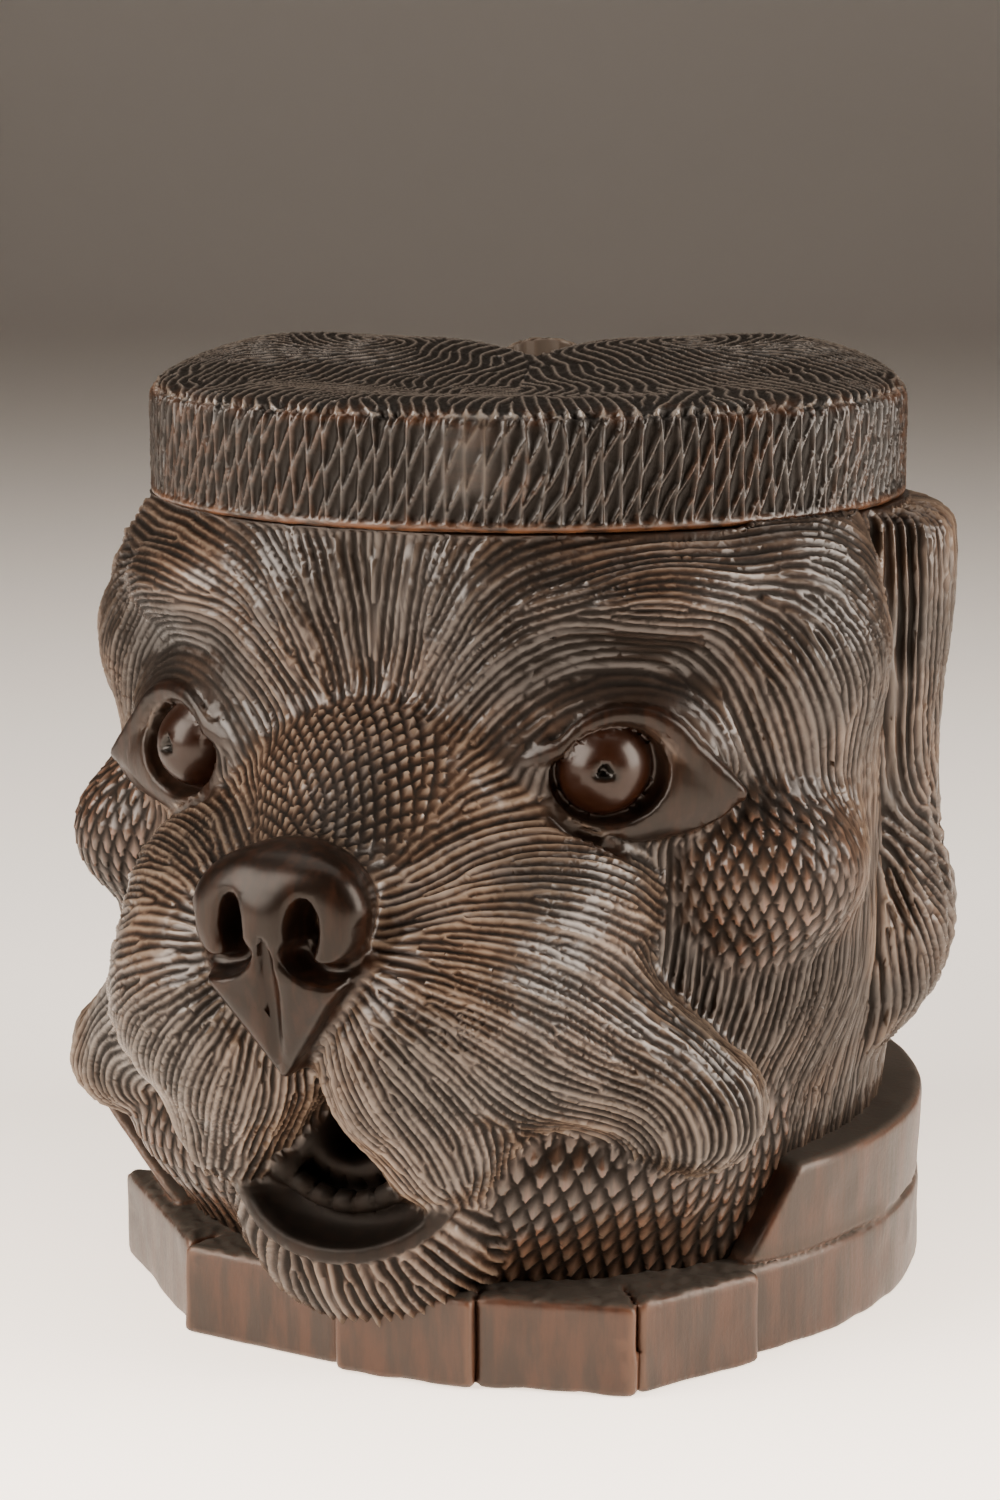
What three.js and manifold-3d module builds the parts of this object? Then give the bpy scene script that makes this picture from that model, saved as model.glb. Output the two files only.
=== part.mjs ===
// A wooden jar carved as a dog's head, with a lift-off lid
// Millimetres, +Z up, the face looks along -Y, the origin is the middle of the foot
import * as THREE from 'three';
import { mergeVertices } from 'three/addons/utils/BufferGeometryUtils.js';
import Module from 'manifold-3d';

const wasm = await Module();
wasm.setup();

// Driving dimensions
const SEAT_HEIGHT = 207;
const LID_RADIUS = 98.4;
const LID_TOP = 236;
const LOBE_RISE = 8;
const LID_EDGE = 4.5;
const LID_GAP = 0.3;
const LID_SIDE_GAP = 0.6;
const CAVITY_RADIUS = 80;
const CAVITY_FLOOR = 22;
const CAVITY_CORNER = 4;
const SPIGOT_DEPTH = 8;
const SPIGOT_RADIUS = 79.4;
const COLLAR_RADIUS = 105;
const COLLAR_BACK_SHIFT = 5;
const BAND_HEIGHT = 24;
const LEFT_BAND_END = { start: 56, slant: 9 };
const RIGHT_BAND_END = { start: 41, slant: 14 };
const FLARE_ANGLE = -62;
const FLARE = 14;
const FACE_ROLL = 1.5;
const FACE_CENTRE = 120;
const TUFT_ANGLE = 201.5;
const EAR_START = 76;
const EAR_RAMP = 16;
const EAR_BOTTOM = 62;
const EAR_INNER_RADIUS = 90;
const LOCKS_PER_DEGREE = 1 / 6;
const EYE_RADIUS = 11.3;
const EYE_CENTRE = [54.2, -80, 150.7];
const EYE_ANGLE = 37;
const EYE_FLARE = 0.2;
const LIP_POINT_HEIGHT = 84;
const STOCK_SPARE = 2;
const ABOVE_ALL = 300;
const MESH_CELL = 2.2;
const HEAD_TRIANGLES = 6600;

const radians = (degrees) => (degrees * Math.PI) / 180;
const length = (x, y, z = 0) => Math.sqrt(x * x + y * y + z * z);
const bell = (t, centre, width) => Math.exp(-(((t - centre) / width) ** 2));
const plateau = (t, centre, width) => Math.exp(-(((t - centre) / width) ** 4));

const smoothStep = (from, to, t) => {
  const u = Math.min(1, Math.max(0, (t - from) / (to - from)));
  return u * u * (3 - 2 * u);
};

// Form makers: each gives a function of a point, below zero inside the wood
const ellipsoid = (centre, radii) => (x, y, z) => {
  const u = (x - centre[0]) / radii[0];
  const v = (y - centre[1]) / radii[1];
  const w = (z - centre[2]) / radii[2];
  const k0 = length(u, v, w);
  const k1 = length(u / radii[0], v / radii[1], w / radii[2]);
  return k1 < 1e-9 ? -Math.min(...radii) : (k0 * (k0 - 1)) / k1;
};

const limb = (start, end, startRadius, endRadius) => {
  const dx = end[0] - start[0];
  const dy = end[1] - start[1];
  const dz = end[2] - start[2];
  const squared = dx * dx + dy * dy + dz * dz;
  return (x, y, z) => {
    const px = x - start[0];
    const py = y - start[1];
    const pz = z - start[2];
    const t = Math.min(1, Math.max(0, (px * dx + py * dy + pz * dz) / squared));
    return length(px - t * dx, py - t * dy, pz - t * dz) - startRadius - t * (endRadius - startRadius);
  };
};

const chain = (...knots) => {
  const links = knots.slice(1).map((knot, i) => limb(knots[i], knot, knots[i][3], knot[3]));
  return (x, y, z) => links.reduce((least, link) => Math.min(least, link(x, y, z)), Infinity);
};

// Part of a ring that stands across the Y axis; a small stretch makes it deep along Y
const arc = (centre, ringRadius, startAngle, endAngle, thickness, stretch = 1) => (x, y, z) => {
  const across = x - centre[0];
  const above = z - centre[2];
  const angle = Math.min(radians(endAngle), Math.max(radians(startAngle), Math.atan2(above, across)));
  const outward = across - ringRadius * Math.cos(angle);
  const upward = above - ringRadius * Math.sin(angle);
  return length(outward, stretch * (y - centre[1]), upward) - thickness;
};

const either = (first, second) => (x, y, z) => Math.min(first(x, y, z), second(x, y, z));

// Turns a form about the jar's axis, from the front towards the dog's left
const turned = (angle, form) => {
  const c = Math.cos(radians(angle));
  const s = Math.sin(radians(angle));
  return (x, y, z) => form(x * c + y * s, y * c - x * s, z);
};

// Places a form about the eye: across the face, outwards and upwards
const atEye = (form) => (x, y, z) => {
  const c = Math.cos(radians(EYE_ANGLE));
  const s = Math.sin(radians(EYE_ANGLE));
  const across = (x - EYE_CENTRE[0]) * c + (y - EYE_CENTRE[1]) * s;
  const outwards = (x - EYE_CENTRE[0]) * s - (y - EYE_CENTRE[1]) * c;
  return form(across, outwards - EYE_FLARE * across, z - EYE_CENTRE[2]);
};

const blend = (a, b, reach) => {
  const h = Math.max(reach - Math.abs(a - b), 0) / reach;
  return Math.min(a, b) - (h * h * reach) / 4;
};
const meet = (a, b, reach) => -blend(-a, -b, reach);
const carve = (a, tool, reach) => meet(a, -tool, reach);

// Masses on both sides of the head, each with the reach of its blend
const skullMasses = [
  { form: turned(66, limb([0, -75, 98], [0, -75, 181], 34, 32)), reach: 14 },
  { form: turned(20, ellipsoid([0, -62, 188], [32, 36, 34])), reach: 12 },
  { form: turned(44, ellipsoid([0, -79, 190], [35, 31, 17])), reach: 8 },
  { form: turned(66, ellipsoid([0, -84, 172], [30, 31, 26])), reach: 12 },
  { form: turned(66, ellipsoid([0, -85, 192], [26, 23, 20])), reach: 8 },
  { form: turned(61, ellipsoid([0, -93, 121], [27, 28, 23])), reach: 7 },
];
const muzzleMasses = [
  { form: ellipsoid([28, -93, 98], [37, 46, 38]), reach: 10 },
  { form: ellipsoid([21, -111, 85], [21, 26, 25]), reach: 8 },
  { form: ellipsoid([38, -80, 116], [31, 37, 25]), reach: 8 },
  { form: ellipsoid([27, -105, 67], [18, 20, 21]), reach: 6 },
  { form: limb([44, -92, 92], [79, -73, 68], 24, 16), reach: 10 },
  { form: ellipsoid([74, -72, 64], [18, 18, 13]), reach: 8 },
];
const forehead = ellipsoid([0, -116, 174], [24, 18, 28]);
const muzzleRoot = ellipsoid([0, -80, 132], [44, 35, 37]);
const bridge = limb([0, -84, 132], [0, -116, 122], 34, 20);
const jaw = ellipsoid([0, -52, 52], [86, 58, 34]);
const chin = ellipsoid([3, -92, 46], [39, 29, 38]);
const mouthBowl = ellipsoid([3, -118, 64], [33, 19, 26]);
const throat = limb([1, -130, 66], [2, -94, 61], 8, 6);
const gum = arc([3, -110, 69], 22.5, -155, -25, 2.8);
const tongue = arc([3, -103, 66], 13.5, -165, -15, 4);
const eyeSocket = turned(EYE_ANGLE, ellipsoid([0, -119.5, 156], [27, 18, 23]));
const eyeball = ellipsoid(EYE_CENTRE, [EYE_RADIUS, EYE_RADIUS, EYE_RADIUS]);
const eyeMound = atEye(ellipsoid([4, -2, 0], [27, 9.5, 20]));
const eyePlate = atEye(ellipsoid([9, 3.5, -7], [22, 4.5, 9.5]));
const eyeBowl = atEye(ellipsoid([0, 5, -1], [13.4, 9, 12]));
const upperLid = atEye(
  either(arc([3, 5, -4], 17.5, 30, 148, 2.2), limb([18.2, 5, 4.8], [31, 5, -7], 2.2, 1.2)),
);
const innerLid = atEye(limb([-11.8, 5, 5.3], [-22, 2, 1], 2.2, 0.8));
const upperCrease = atEye(
  either(arc([4, 6.5, -4], 22, 32, 140, 1.8), limb([22.7, 7, 7.7], [34, 7, -4], 1.8, 0.8)),
);
const lowerCrease = atEye(
  either(arc([5, 7.5, 3], 22, -150, -50, 1.6), limb([19.1, 7.5, -13.9], [34, 7, -7], 1.6, 0.8)),
);
const pupil = atEye(limb([-2.4, 13, 0.6], [-2.4, 8.5, 0.6], 2.2, 0.5));
const noseBall = ellipsoid([0, -133, 124.5], [20, 16, 16.5]);
const noseWing = arc([9, -139, 124], 8, -55, 120, 5.2);
const nostril = ellipsoid([9, -146, 122.5], [3.8, 12, 7.5]);
const nostrilTail = arc([14, -144, 121], 9, -150, 10, 2.6, 0.35);
const lipSlit = chain([0, -147, 124, 0.8], [0, -144.5, 108, 2.4], [0, -139, 88, 1]);
const napeTuft = turned(TUFT_ANGLE, ellipsoid([0, -101, 209], [27, 11, 31]));

// The gap between the lips, narrowing upwards between the two pads
function mouthGap(x, y, z) {
  const slope = 0.8;
  const top = 70;
  const sides = (Math.abs(x - 2) - slope * (top - z)) / length(1, slope);
  return meet(mouthBowl(x, y, z), sides, 3);
}

// Leathery plate under the nostrils, tapering down to a point at the lip
function nosePlate(x, y, z) {
  const rise = z - LIP_POINT_HEIGHT;
  const forwardLean = 0.28;
  const front = -y - 138 - forwardLean * rise;
  const sides = Math.abs(x) * Math.cos(radians(35)) - rise * Math.sin(radians(35));
  const plateTop = z - LIP_POINT_HEIGHT - 30;
  const plateBack = y + 126;
  return meet(meet(sides, front, 4), Math.max(plateTop, plateBack), 3);
}

const drumRadius = (z) => 95 + 6 * smoothStep(40, 95, z) - 5 * smoothStep(150, SEAT_HEIGHT, z);

// Ear flaps: thick flaps on the sides with a steep front, in two lobes with deep upright locks
function ear(x, y, z) {
  const angle = (Math.atan2(Math.abs(x), -y) * 180) / Math.PI;
  const across = smoothStep(EAR_START, EAR_START + EAR_RAMP, angle) * (1 - smoothStep(102, 150, angle));
  const upperLobe = 3.5 * bell(z, 190, 28);
  const lowerLobe = 6 * bell(z, 98, 20) - 9 * smoothStep(EAR_BOTTOM + 22, EAR_BOTTOM, z);
  const locks = 0.5 * Math.cos(2 * Math.PI * LOCKS_PER_DEGREE * (angle - EAR_START));
  const thick = 19 + upperLobe + lowerLobe + locks;
  const steepness = 0.6;
  const flap = steepness * (length(x, y) - EAR_INNER_RADIUS - thick * across);
  return meet(meet(flap, z - SEAT_HEIGHT, 8), EAR_BOTTOM - z, 8);
}

const joinAll = (start, masses, x, y, z) =>
  masses.reduce((form, mass) => blend(form, mass.form(x, y, z), mass.reach), start);

// The whole head above the collar, before it is turned hollow
function head(worldX, y, worldZ) {
  const c = Math.cos(radians(FACE_ROLL));
  const s = Math.sin(radians(FACE_ROLL));
  const x = worldX * c - (worldZ - FACE_CENTRE) * s;
  const z = FACE_CENTRE - worldX * s + (worldZ - FACE_CENTRE) * c;
  const side = Math.abs(x);
  let form = length(worldX, y - 2) - drumRadius(worldZ);
  form = blend(form, jaw(x, y, z), 16);
  form = joinAll(form, skullMasses, side, y, z);
  form = carve(form, forehead(x, y, z), 12);
  const muzzle = joinAll(blend(muzzleRoot(x, y, z), bridge(x, y, z), 8), muzzleMasses, side, y, z);
  form = blend(form, muzzle, 4);
  form = carve(form, eyeSocket(side, y, z), 6);
  form = blend(form, eyeMound(side, y, z), 6);
  form = blend(form, eyePlate(side, y, z), 3);
  form = carve(form, eyeBowl(side, y, z), 2);
  form = blend(form, Math.min(upperLid(side, y, z), innerLid(side, y, z)), 3);
  form = carve(form, Math.min(upperCrease(side, y, z), lowerCrease(side, y, z)), 2);
  form = Math.min(form, eyeball(side, y, z));
  form = carve(form, pupil(side, y, z), 0.5);
  const mouthParts = Math.min(tongue(x, y, z), gum(x, y, z));
  const lowerLip = blend(carve(chin(x, y, z), mouthBowl(x, y, z), 2), mouthParts, 2);
  form = carve(form, mouthGap(x, y, z), 2);
  form = blend(form, lowerLip, 4);
  form = carve(form, throat(x, y, z), 3);
  form = blend(form, noseBall(x, y, z), 2);
  form = blend(form, nosePlate(x, y, z), 4);
  form = blend(form, noseWing(side, y, z), 5);
  form = carve(form, nostril(side, y, z), 2);
  form = carve(form, nostrilTail(side, y, z), 2);
  form = carve(form, lipSlit(x, y, z), 1.5);
  form = blend(form, ear(worldX, y, worldZ), 2);
  form = Math.max(form, worldZ - SEAT_HEIGHT - STOCK_SPARE, -STOCK_SPARE - worldZ);
  return blend(form, napeTuft(worldX, y, worldZ), 6);
}

// Marching tetrahedra: turns a form into one closed mesh
const LEVEL = [[0, 0], [1, 0], [1, 1], [0, 1]];
const CUBE = [0, 1].flatMap((height) => LEVEL.map(([a, b]) => [a, b, height]));
const RIM = [1, 2, 3, 7, 4, 5];
const TETRAHEDRA = RIM.map((corner, n) => [0, RIM[(n + 5) % 6], corner, 6]);

function sampleForm(form, low, counts, cell) {
  const [nx, ny, nz] = counts;
  const values = new Float32Array(nx * ny * nz).fill(cell);
  const block = 4;
  const skip = cell * block * 1.5;
  for (let k = 0; k < nz; k += block) {
    for (let j = 0; j < ny; j += block) {
      for (let i = 0; i < nx; i += block) {
        const middle = [i, j, k].map((n, axis) => low[axis] + (n + block / 2) * cell);
        const distance = form(...middle);
        const far = Math.abs(distance) > skip;
        for (let c = k; c < Math.min(nz, k + block); c++) {
          for (let b = j; b < Math.min(ny, j + block); b++) {
            for (let a = i; a < Math.min(nx, i + block); a++) {
              const at = a + nx * (b + ny * c);
              values[at] = far ? distance : form(low[0] + a * cell, low[1] + b * cell, low[2] + c * cell);
            }
          }
        }
      }
    }
  }
  return values;
}

function meshForm(form, low, high, cell) {
  const counts = low.map((value, axis) => Math.ceil((high[axis] - value) / cell) + 1);
  const [nx, ny, nz] = counts;
  const values = sampleForm(form, low, counts, cell);
  const offsets = CUBE.map(([a, b, c]) => a + nx * (b + ny * c));
  const place = (index) => [
    low[0] + (index % nx) * cell,
    low[1] + (Math.floor(index / nx) % ny) * cell,
    low[2] + Math.floor(index / (nx * ny)) * cell,
  ];
  const positions = [];
  const triangles = [];
  const made = new Map();
  const crossing = (inside, outside) => {
    const key = Math.min(inside, outside) * values.length + Math.max(inside, outside);
    if (!made.has(key)) {
      const ratio = values[inside] / (values[inside] - values[outside]);
      const t = Math.min(0.95, Math.max(0.05, ratio));
      const a = place(inside);
      const b = place(outside);
      made.set(key, positions.length / 3);
      positions.push(...a.map((value, axis) => value + t * (b[axis] - value)));
    }
    return made.get(key);
  };
  const point = new THREE.Triangle();
  const normal = new THREE.Vector3();
  const pushTriangle = (a, b, c, inside) => {
    [point.a, point.b, point.c].forEach((v, n) => v.fromArray(positions, 3 * [a, b, c][n]));
    point.getNormal(normal);
    const away = point.a.clone().sub(new THREE.Vector3(...place(inside)));
    triangles.push(...(normal.dot(away) > 0 ? [a, b, c] : [a, c, b]));
  };
  for (let k = 0; k < nz - 1; k++) {
    for (let j = 0; j < ny - 1; j++) {
      for (let i = 0; i < nx - 1; i++) {
        const base = i + nx * (j + ny * k);
        const inner = offsets.filter((offset) => values[base + offset] < 0).length;
        if (inner === 0 || inner === 8) continue;
        for (const corners of TETRAHEDRA) {
          const ids = corners.map((corner) => base + offsets[corner]);
          const ins = ids.filter((id) => values[id] < 0);
          const outs = ids.filter((id) => values[id] >= 0);
          if (ins.length === 1) {
            pushTriangle(...outs.map((out) => crossing(ins[0], out)), ins[0]);
          } else if (ins.length === 3) {
            pushTriangle(...ins.map((id) => crossing(id, outs[0])), ins[0]);
          } else if (ins.length === 2) {
            const [p, q] = ins;
            const [r, s] = outs;
            pushTriangle(crossing(p, r), crossing(p, s), crossing(q, s), p);
            pushTriangle(crossing(p, r), crossing(q, s), crossing(q, r), q);
          }
        }
      }
    }
  }
  return { positions, triangles };
}

// Edge collapse by least squared distance to the first mesh's planes
function simplify({ positions, triangles }, wanted) {
  const vertexCount = positions.length / 3;
  const place = Float64Array.from(positions);
  const faces = Int32Array.from(triangles);
  const quadrics = new Float64Array(vertexCount * 10);
  const stamps = new Int32Array(vertexCount);
  const around = Array.from({ length: vertexCount }, () => new Set());
  const pull = 1e-3;

  const faceNormal = (face, swapped = -1, x = 0, y = 0, z = 0) => {
    const p = [];
    for (let n = 0; n < 3; n++) {
      const v = faces[3 * face + n];
      if (v === swapped) p.push(x, y, z);
      else p.push(place[3 * v], place[3 * v + 1], place[3 * v + 2]);
    }
    const [ax, ay, az, bx, by, bz, cx, cy, cz] = p;
    return [
      (by - ay) * (cz - az) - (bz - az) * (cy - ay),
      (bz - az) * (cx - ax) - (bx - ax) * (cz - az),
      (bx - ax) * (cy - ay) - (by - ay) * (cx - ax),
    ];
  };
  const addPlane = (vertex, a, b, c, d, weight) => {
    const terms = [a * a, a * b, a * c, a * d, b * b, b * c, b * d, c * c, c * d, d * d];
    terms.forEach((term, n) => {
      quadrics[10 * vertex + n] += weight * term;
    });
  };

  for (let face = 0; face < faces.length / 3; face++) {
    const n = faceNormal(face);
    const size = length(...n) || 1e-12;
    const [a, b, c] = n.map((value) => value / size);
    const first = 3 * faces[3 * face];
    const d = -(a * place[first] + b * place[first + 1] + c * place[first + 2]);
    for (let corner = 0; corner < 3; corner++) {
      const vertex = faces[3 * face + corner];
      around[vertex].add(face);
      addPlane(vertex, a, b, c, d, size);
      addPlane(vertex, 1, 0, 0, -place[3 * vertex], pull * size);
      addPlane(vertex, 0, 1, 0, -place[3 * vertex + 1], pull * size);
      addPlane(vertex, 0, 0, 1, -place[3 * vertex + 2], pull * size);
    }
  }

  const heap = [];
  const push = (item) => {
    let n = heap.push(item) - 1;
    while (n > 0) {
      const parent = (n - 1) >> 1;
      if (heap[parent].cost <= item.cost) break;
      heap[n] = heap[parent];
      n = parent;
    }
    heap[n] = item;
  };
  const pop = () => {
    const top = heap[0];
    const last = heap.pop();
    let n = 0;
    while (heap.length > 0) {
      let child = 2 * n + 1;
      if (child >= heap.length) break;
      if (child + 1 < heap.length && heap[child + 1].cost < heap[child].cost) child += 1;
      if (heap[child].cost >= last.cost) break;
      heap[n] = heap[child];
      n = child;
    }
    if (heap.length > 0) heap[n] = last;
    return top;
  };

  const consider = (a, b) => {
    const q = [];
    for (let n = 0; n < 10; n++) q.push(quadrics[10 * a + n] + quadrics[10 * b + n]);
    const [xx, xy, xz, xw, yy, yz, yw, zz, zw, ww] = q;
    const cxx = yy * zz - yz * yz;
    const cxy = xz * yz - xy * zz;
    const cxz = xy * yz - xz * yy;
    const det = xx * cxx + xy * cxy + xz * cxz;
    const x = -(cxx * xw + cxy * yw + cxz * zw) / det;
    const y = -(cxy * xw + (xx * zz - xz * xz) * yw + (xy * xz - xx * yz) * zw) / det;
    const z = -(cxz * xw + (xy * xz - xx * yz) * yw + (xx * yy - xy * xy) * zw) / det;
    const cost = xw * x + yw * y + zw * z + ww;
    push({ cost, a, b, stamp: stamps[a] + stamps[b], x, y, z });
  };

  const neighbours = (vertex) => {
    const found = new Set();
    for (const face of around[vertex]) {
      for (let n = 0; n < 3; n++) found.add(faces[3 * face + n]);
    }
    found.delete(vertex);
    return found;
  };

  for (let face = 0; face < faces.length / 3; face++) {
    for (let n = 0; n < 3; n++) {
      const a = faces[3 * face + n];
      const b = faces[3 * face + ((n + 1) % 3)];
      if (a < b) consider(a, b);
    }
  }

  let remaining = faces.length / 3;
  while (remaining > wanted && heap.length > 0) {
    const { a, b, stamp, x, y, z } = pop();
    if (stamps[a] < 0 || stamps[b] < 0 || stamp !== stamps[a] + stamps[b]) continue;
    const shared = [...around[a]].filter((face) => around[b].has(face));
    const besideB = neighbours(b);
    const common = [...neighbours(a)].filter((vertex) => besideB.has(vertex));
    if (shared.length !== 2 || common.length !== 2) continue;
    const flips = [a, b].some((vertex) =>
      [...around[vertex]].some((face) => {
        if (shared.includes(face)) return false;
        const before = faceNormal(face);
        const after = faceNormal(face, vertex, x, y, z);
        const dot = before[0] * after[0] + before[1] * after[1] + before[2] * after[2];
        return dot < 0.3 * length(...before) * length(...after);
      }),
    );
    if (flips) continue;
    for (const face of shared) {
      for (let n = 0; n < 3; n++) around[faces[3 * face + n]].delete(face);
      faces[3 * face] = -1;
    }
    for (const face of around[b]) {
      for (let n = 0; n < 3; n++) {
        if (faces[3 * face + n] === b) faces[3 * face + n] = a;
      }
      around[a].add(face);
    }
    place.set([x, y, z], 3 * a);
    for (let n = 0; n < 10; n++) quadrics[10 * a + n] += quadrics[10 * b + n];
    stamps[a] += stamps[b] + 1;
    stamps[b] = -1;
    remaining -= 2;
    for (const vertex of neighbours(a)) consider(a, vertex);
  }

  const kept = [];
  for (let face = 0; face < faces.length / 3; face++) {
    if (faces[3 * face] >= 0) kept.push(faces[3 * face], faces[3 * face + 1], faces[3 * face + 2]);
  }
  return indexedGeometry(place, kept);
}

function indexedGeometry(positions, index) {
  const geometry = new THREE.BufferGeometry();
  geometry.setAttribute('position', new THREE.Float32BufferAttribute(positions, 3));
  geometry.setIndex([...index]);
  return geometry;
}

// Turns a geometry into a solid that can be joined and cut
function solid(geometry) {
  const bare = geometry.clone();
  bare.deleteAttribute('normal');
  bare.deleteAttribute('uv');
  const merged = mergeVertices(bare, 1e-4);
  return new wasm.Manifold(
    new wasm.Mesh({
      numProp: 3,
      vertProperties: new Float32Array(merged.attributes.position.array),
      triVerts: new Uint32Array(merged.index.array),
    }),
  );
}

function geometryOf(body) {
  const { vertProperties, triVerts } = body.getMesh();
  const geometry = indexedGeometry(vertProperties, triVerts);
  geometry.computeVertexNormals();
  return geometry;
}

// A turned solid about the jar's axis, from radius and height pairs
function turnedSolid(profile, segments) {
  const points = profile.map(([radius, height]) => new THREE.Vector2(radius, height));
  return new THREE.LatheGeometry(points, segments).rotateX(Math.PI / 2);
}

const atAngle = (angle, radius) => [radius * Math.sin(radians(angle)), -radius * Math.cos(radians(angle))];

// Collar: a lower band all round, and an upper band open under the chin that flares on the right
function lowerBand() {
  const r = COLLAR_RADIUS;
  const high = BAND_HEIGHT;
  const profile = [[0, 0], [r - 1, 0], [r, 1], [r, high - 1], [r - 1, high], [0, high]];
  return solid(turnedSolid(profile, 72).translate(0, COLLAR_BACK_SHIFT, 0));
}

function upperBand() {
  const r = COLLAR_RADIUS;
  const low = BAND_HEIGHT;
  const high = 2 * BAND_HEIGHT;
  const outside = [[r - 1.5, low], [r - 0.5, low + 1], [r + 0.5, high - 1.5], [r - 1, high]];
  const profile = [[0, low], ...outside, [0, high]];
  const upright = turnedSolid(profile, 72).translate(0, COLLAR_BACK_SHIFT, 0);
  const [leanX, leanY] = atAngle(FLARE_ANGLE, FLARE / BAND_HEIGHT);
  const shear = new THREE.Matrix4().makeShear(0, 0, 0, 0, leanX, leanY);
  shear.setPosition(-leanX * low, -leanY * low, 0);
  const band = solid(upright).add(solid(upright.clone().applyMatrix4(shear)));
  const throatSides = [-1, 1].map((side) => {
    const { start: from, slant } = side > 0 ? LEFT_BAND_END : RIGHT_BAND_END;
    const start = new THREE.Vector3(...atAngle(side * from, r), low);
    const end = new THREE.Vector3(...atAngle(side * (from + slant), r), high);
    const along = end.clone().sub(start).normalize();
    const outward = new THREE.Vector3(...atAngle(side * (from + slant / 2), 1), 0);
    const forward = new THREE.Vector3().crossVectors(outward, along).multiplyScalar(side).normalize();
    const sideways = new THREE.Vector3().crossVectors(forward, along);
    const block = new THREE.BoxGeometry(4 * r, 4 * r, 4 * r).translate(0, 0, 2 * r);
    const turn = new THREE.Matrix4().makeBasis(along, sideways, forward);
    return solid(block.applyMatrix4(turn.setPosition(start)));
  });
  return band.subtract(throatSides[0].intersect(throatSides[1]));
}

// Flat pleats of the lower band, across the front
const PLEATS = [
  { from: { angle: -60, radius: 110 }, to: { angle: -28, radius: 109 } },
  { from: { angle: -28, radius: 112 }, to: { angle: -3, radius: 103 } },
  { from: { angle: -3, radius: 106.5 }, to: { angle: 17, radius: 108.5 } },
  { from: { angle: 17, radius: 106 }, to: { angle: 37.5, radius: 115 } },
  { from: { angle: 37.5, radius: 113 }, to: { angle: 57, radius: 106 } },
];

function pleat({ from, to }) {
  const inner = 60;
  const corners = [
    atAngle(from.angle, inner),
    atAngle(from.angle, from.radius),
    atAngle(to.angle, to.radius),
    atAngle(to.angle, inner),
  ];
  const outline = new THREE.Shape(corners.map(([x, y]) => new THREE.Vector2(x, y)));
  const bevel = 0.8;
  const geometry = new THREE.ExtrudeGeometry(outline, {
    depth: BAND_HEIGHT - 2 * bevel,
    bevelThickness: bevel,
    bevelSize: bevel,
    bevelOffset: -bevel,
    bevelSegments: 1,
  });
  return solid(geometry.translate(0, 0, bevel));
}

// Jar: the carved head on its collar, turned hollow from above
function jar() {
  const reach = [[-128, -156, -6], [128, 122, 246]];
  const carved = solid(simplify(meshForm(head, ...reach, MESH_CELL), HEAD_TRIANGLES));
  const collar = [lowerBand(), upperBand(), ...PLEATS.map(pleat)];
  const joined = collar.reduce((body, band) => body.add(band), carved);
  const lidReach = LID_RADIUS + LID_SIDE_GAP;
  const lidSpace = [[0, SEAT_HEIGHT], [lidReach, SEAT_HEIGHT], [lidReach, ABOVE_ALL], [0, ABOVE_ALL]];
  const cavity = [
    [0, CAVITY_FLOOR],
    [CAVITY_RADIUS - CAVITY_CORNER, CAVITY_FLOOR],
    [CAVITY_RADIUS, CAVITY_FLOOR + CAVITY_CORNER],
    [CAVITY_RADIUS, ABOVE_ALL],
    [0, ABOVE_ALL],
  ];
  const floor = new THREE.BoxGeometry(ABOVE_ALL, ABOVE_ALL, ABOVE_ALL).translate(0, 0, -ABOVE_ALL / 2);
  return joined
    .subtract(solid(turnedSolid(lidSpace, 96)))
    .subtract(solid(turnedSolid(cavity, 72)))
    .subtract(solid(floor));
}

// Lid: a turned disc with a spigot below and two carved lobes of hair above
function lid() {
  const under = SEAT_HEIGHT + LID_GAP;
  const foot = SEAT_HEIGHT - SPIGOT_DEPTH;
  const lowerChamfer = 1.4;
  const cornerBulge = LID_EDGE * (1 - Math.SQRT1_2);
  const rings = Array.from({ length: 8 }, (_, n) => [84 - 12 * n, LID_TOP]);
  const profile = [
    [0, foot],
    [SPIGOT_RADIUS - 1, foot],
    [SPIGOT_RADIUS, foot + 1],
    [SPIGOT_RADIUS, under],
    [LID_RADIUS - lowerChamfer, under],
    [LID_RADIUS, under + lowerChamfer],
    [LID_RADIUS, LID_TOP - LID_EDGE],
    [LID_RADIUS - cornerBulge, LID_TOP - cornerBulge],
    [LID_RADIUS - LID_EDGE, LID_TOP],
    ...rings,
  ];
  const geometry = turnedSolid(profile, 72);
  const position = geometry.attributes.position;
  for (let n = 0; n < position.count; n++) {
    const x = position.getX(n);
    const y = position.getY(n);
    const radius = length(x, y);
    if (position.getZ(n) < LID_TOP - LID_EDGE) continue;
    const c = Math.cos(radians(TUFT_ANGLE));
    const s = Math.sin(radians(TUFT_ANGLE));
    const across = x * c + y * s;
    const back = -(y * c - x * s);
    const lobes = LOBE_RISE * plateau(Math.abs(across), 44, 48) * bell(back, 34, 42);
    const valley = 3.5 * bell(across, 0, 14) * smoothStep(10, 90, back);
    const rim = 1.5 * bell(radius, 80, 16);
    position.setZ(n, position.getZ(n) + lobes - valley + rim);
  }
  return solid(geometry);
}

const darkWood = new THREE.MeshStandardMaterial({ color: 0x3b2a20, roughness: 0.5, metalness: 0 });
const lidWood = new THREE.MeshStandardMaterial({ color: 0x33231a, roughness: 0.45, metalness: 0 });

function named(name, body, material) {
  const mesh = new THREE.Mesh(geometryOf(body), material);
  mesh.name = name;
  return mesh;
}

const dogHeadJar = new THREE.Group();
dogHeadJar.add(named('jar', jar(), darkWood));
dogHeadJar.add(named('lid', lid(), lidWood));

export default dogHeadJar;
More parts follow.
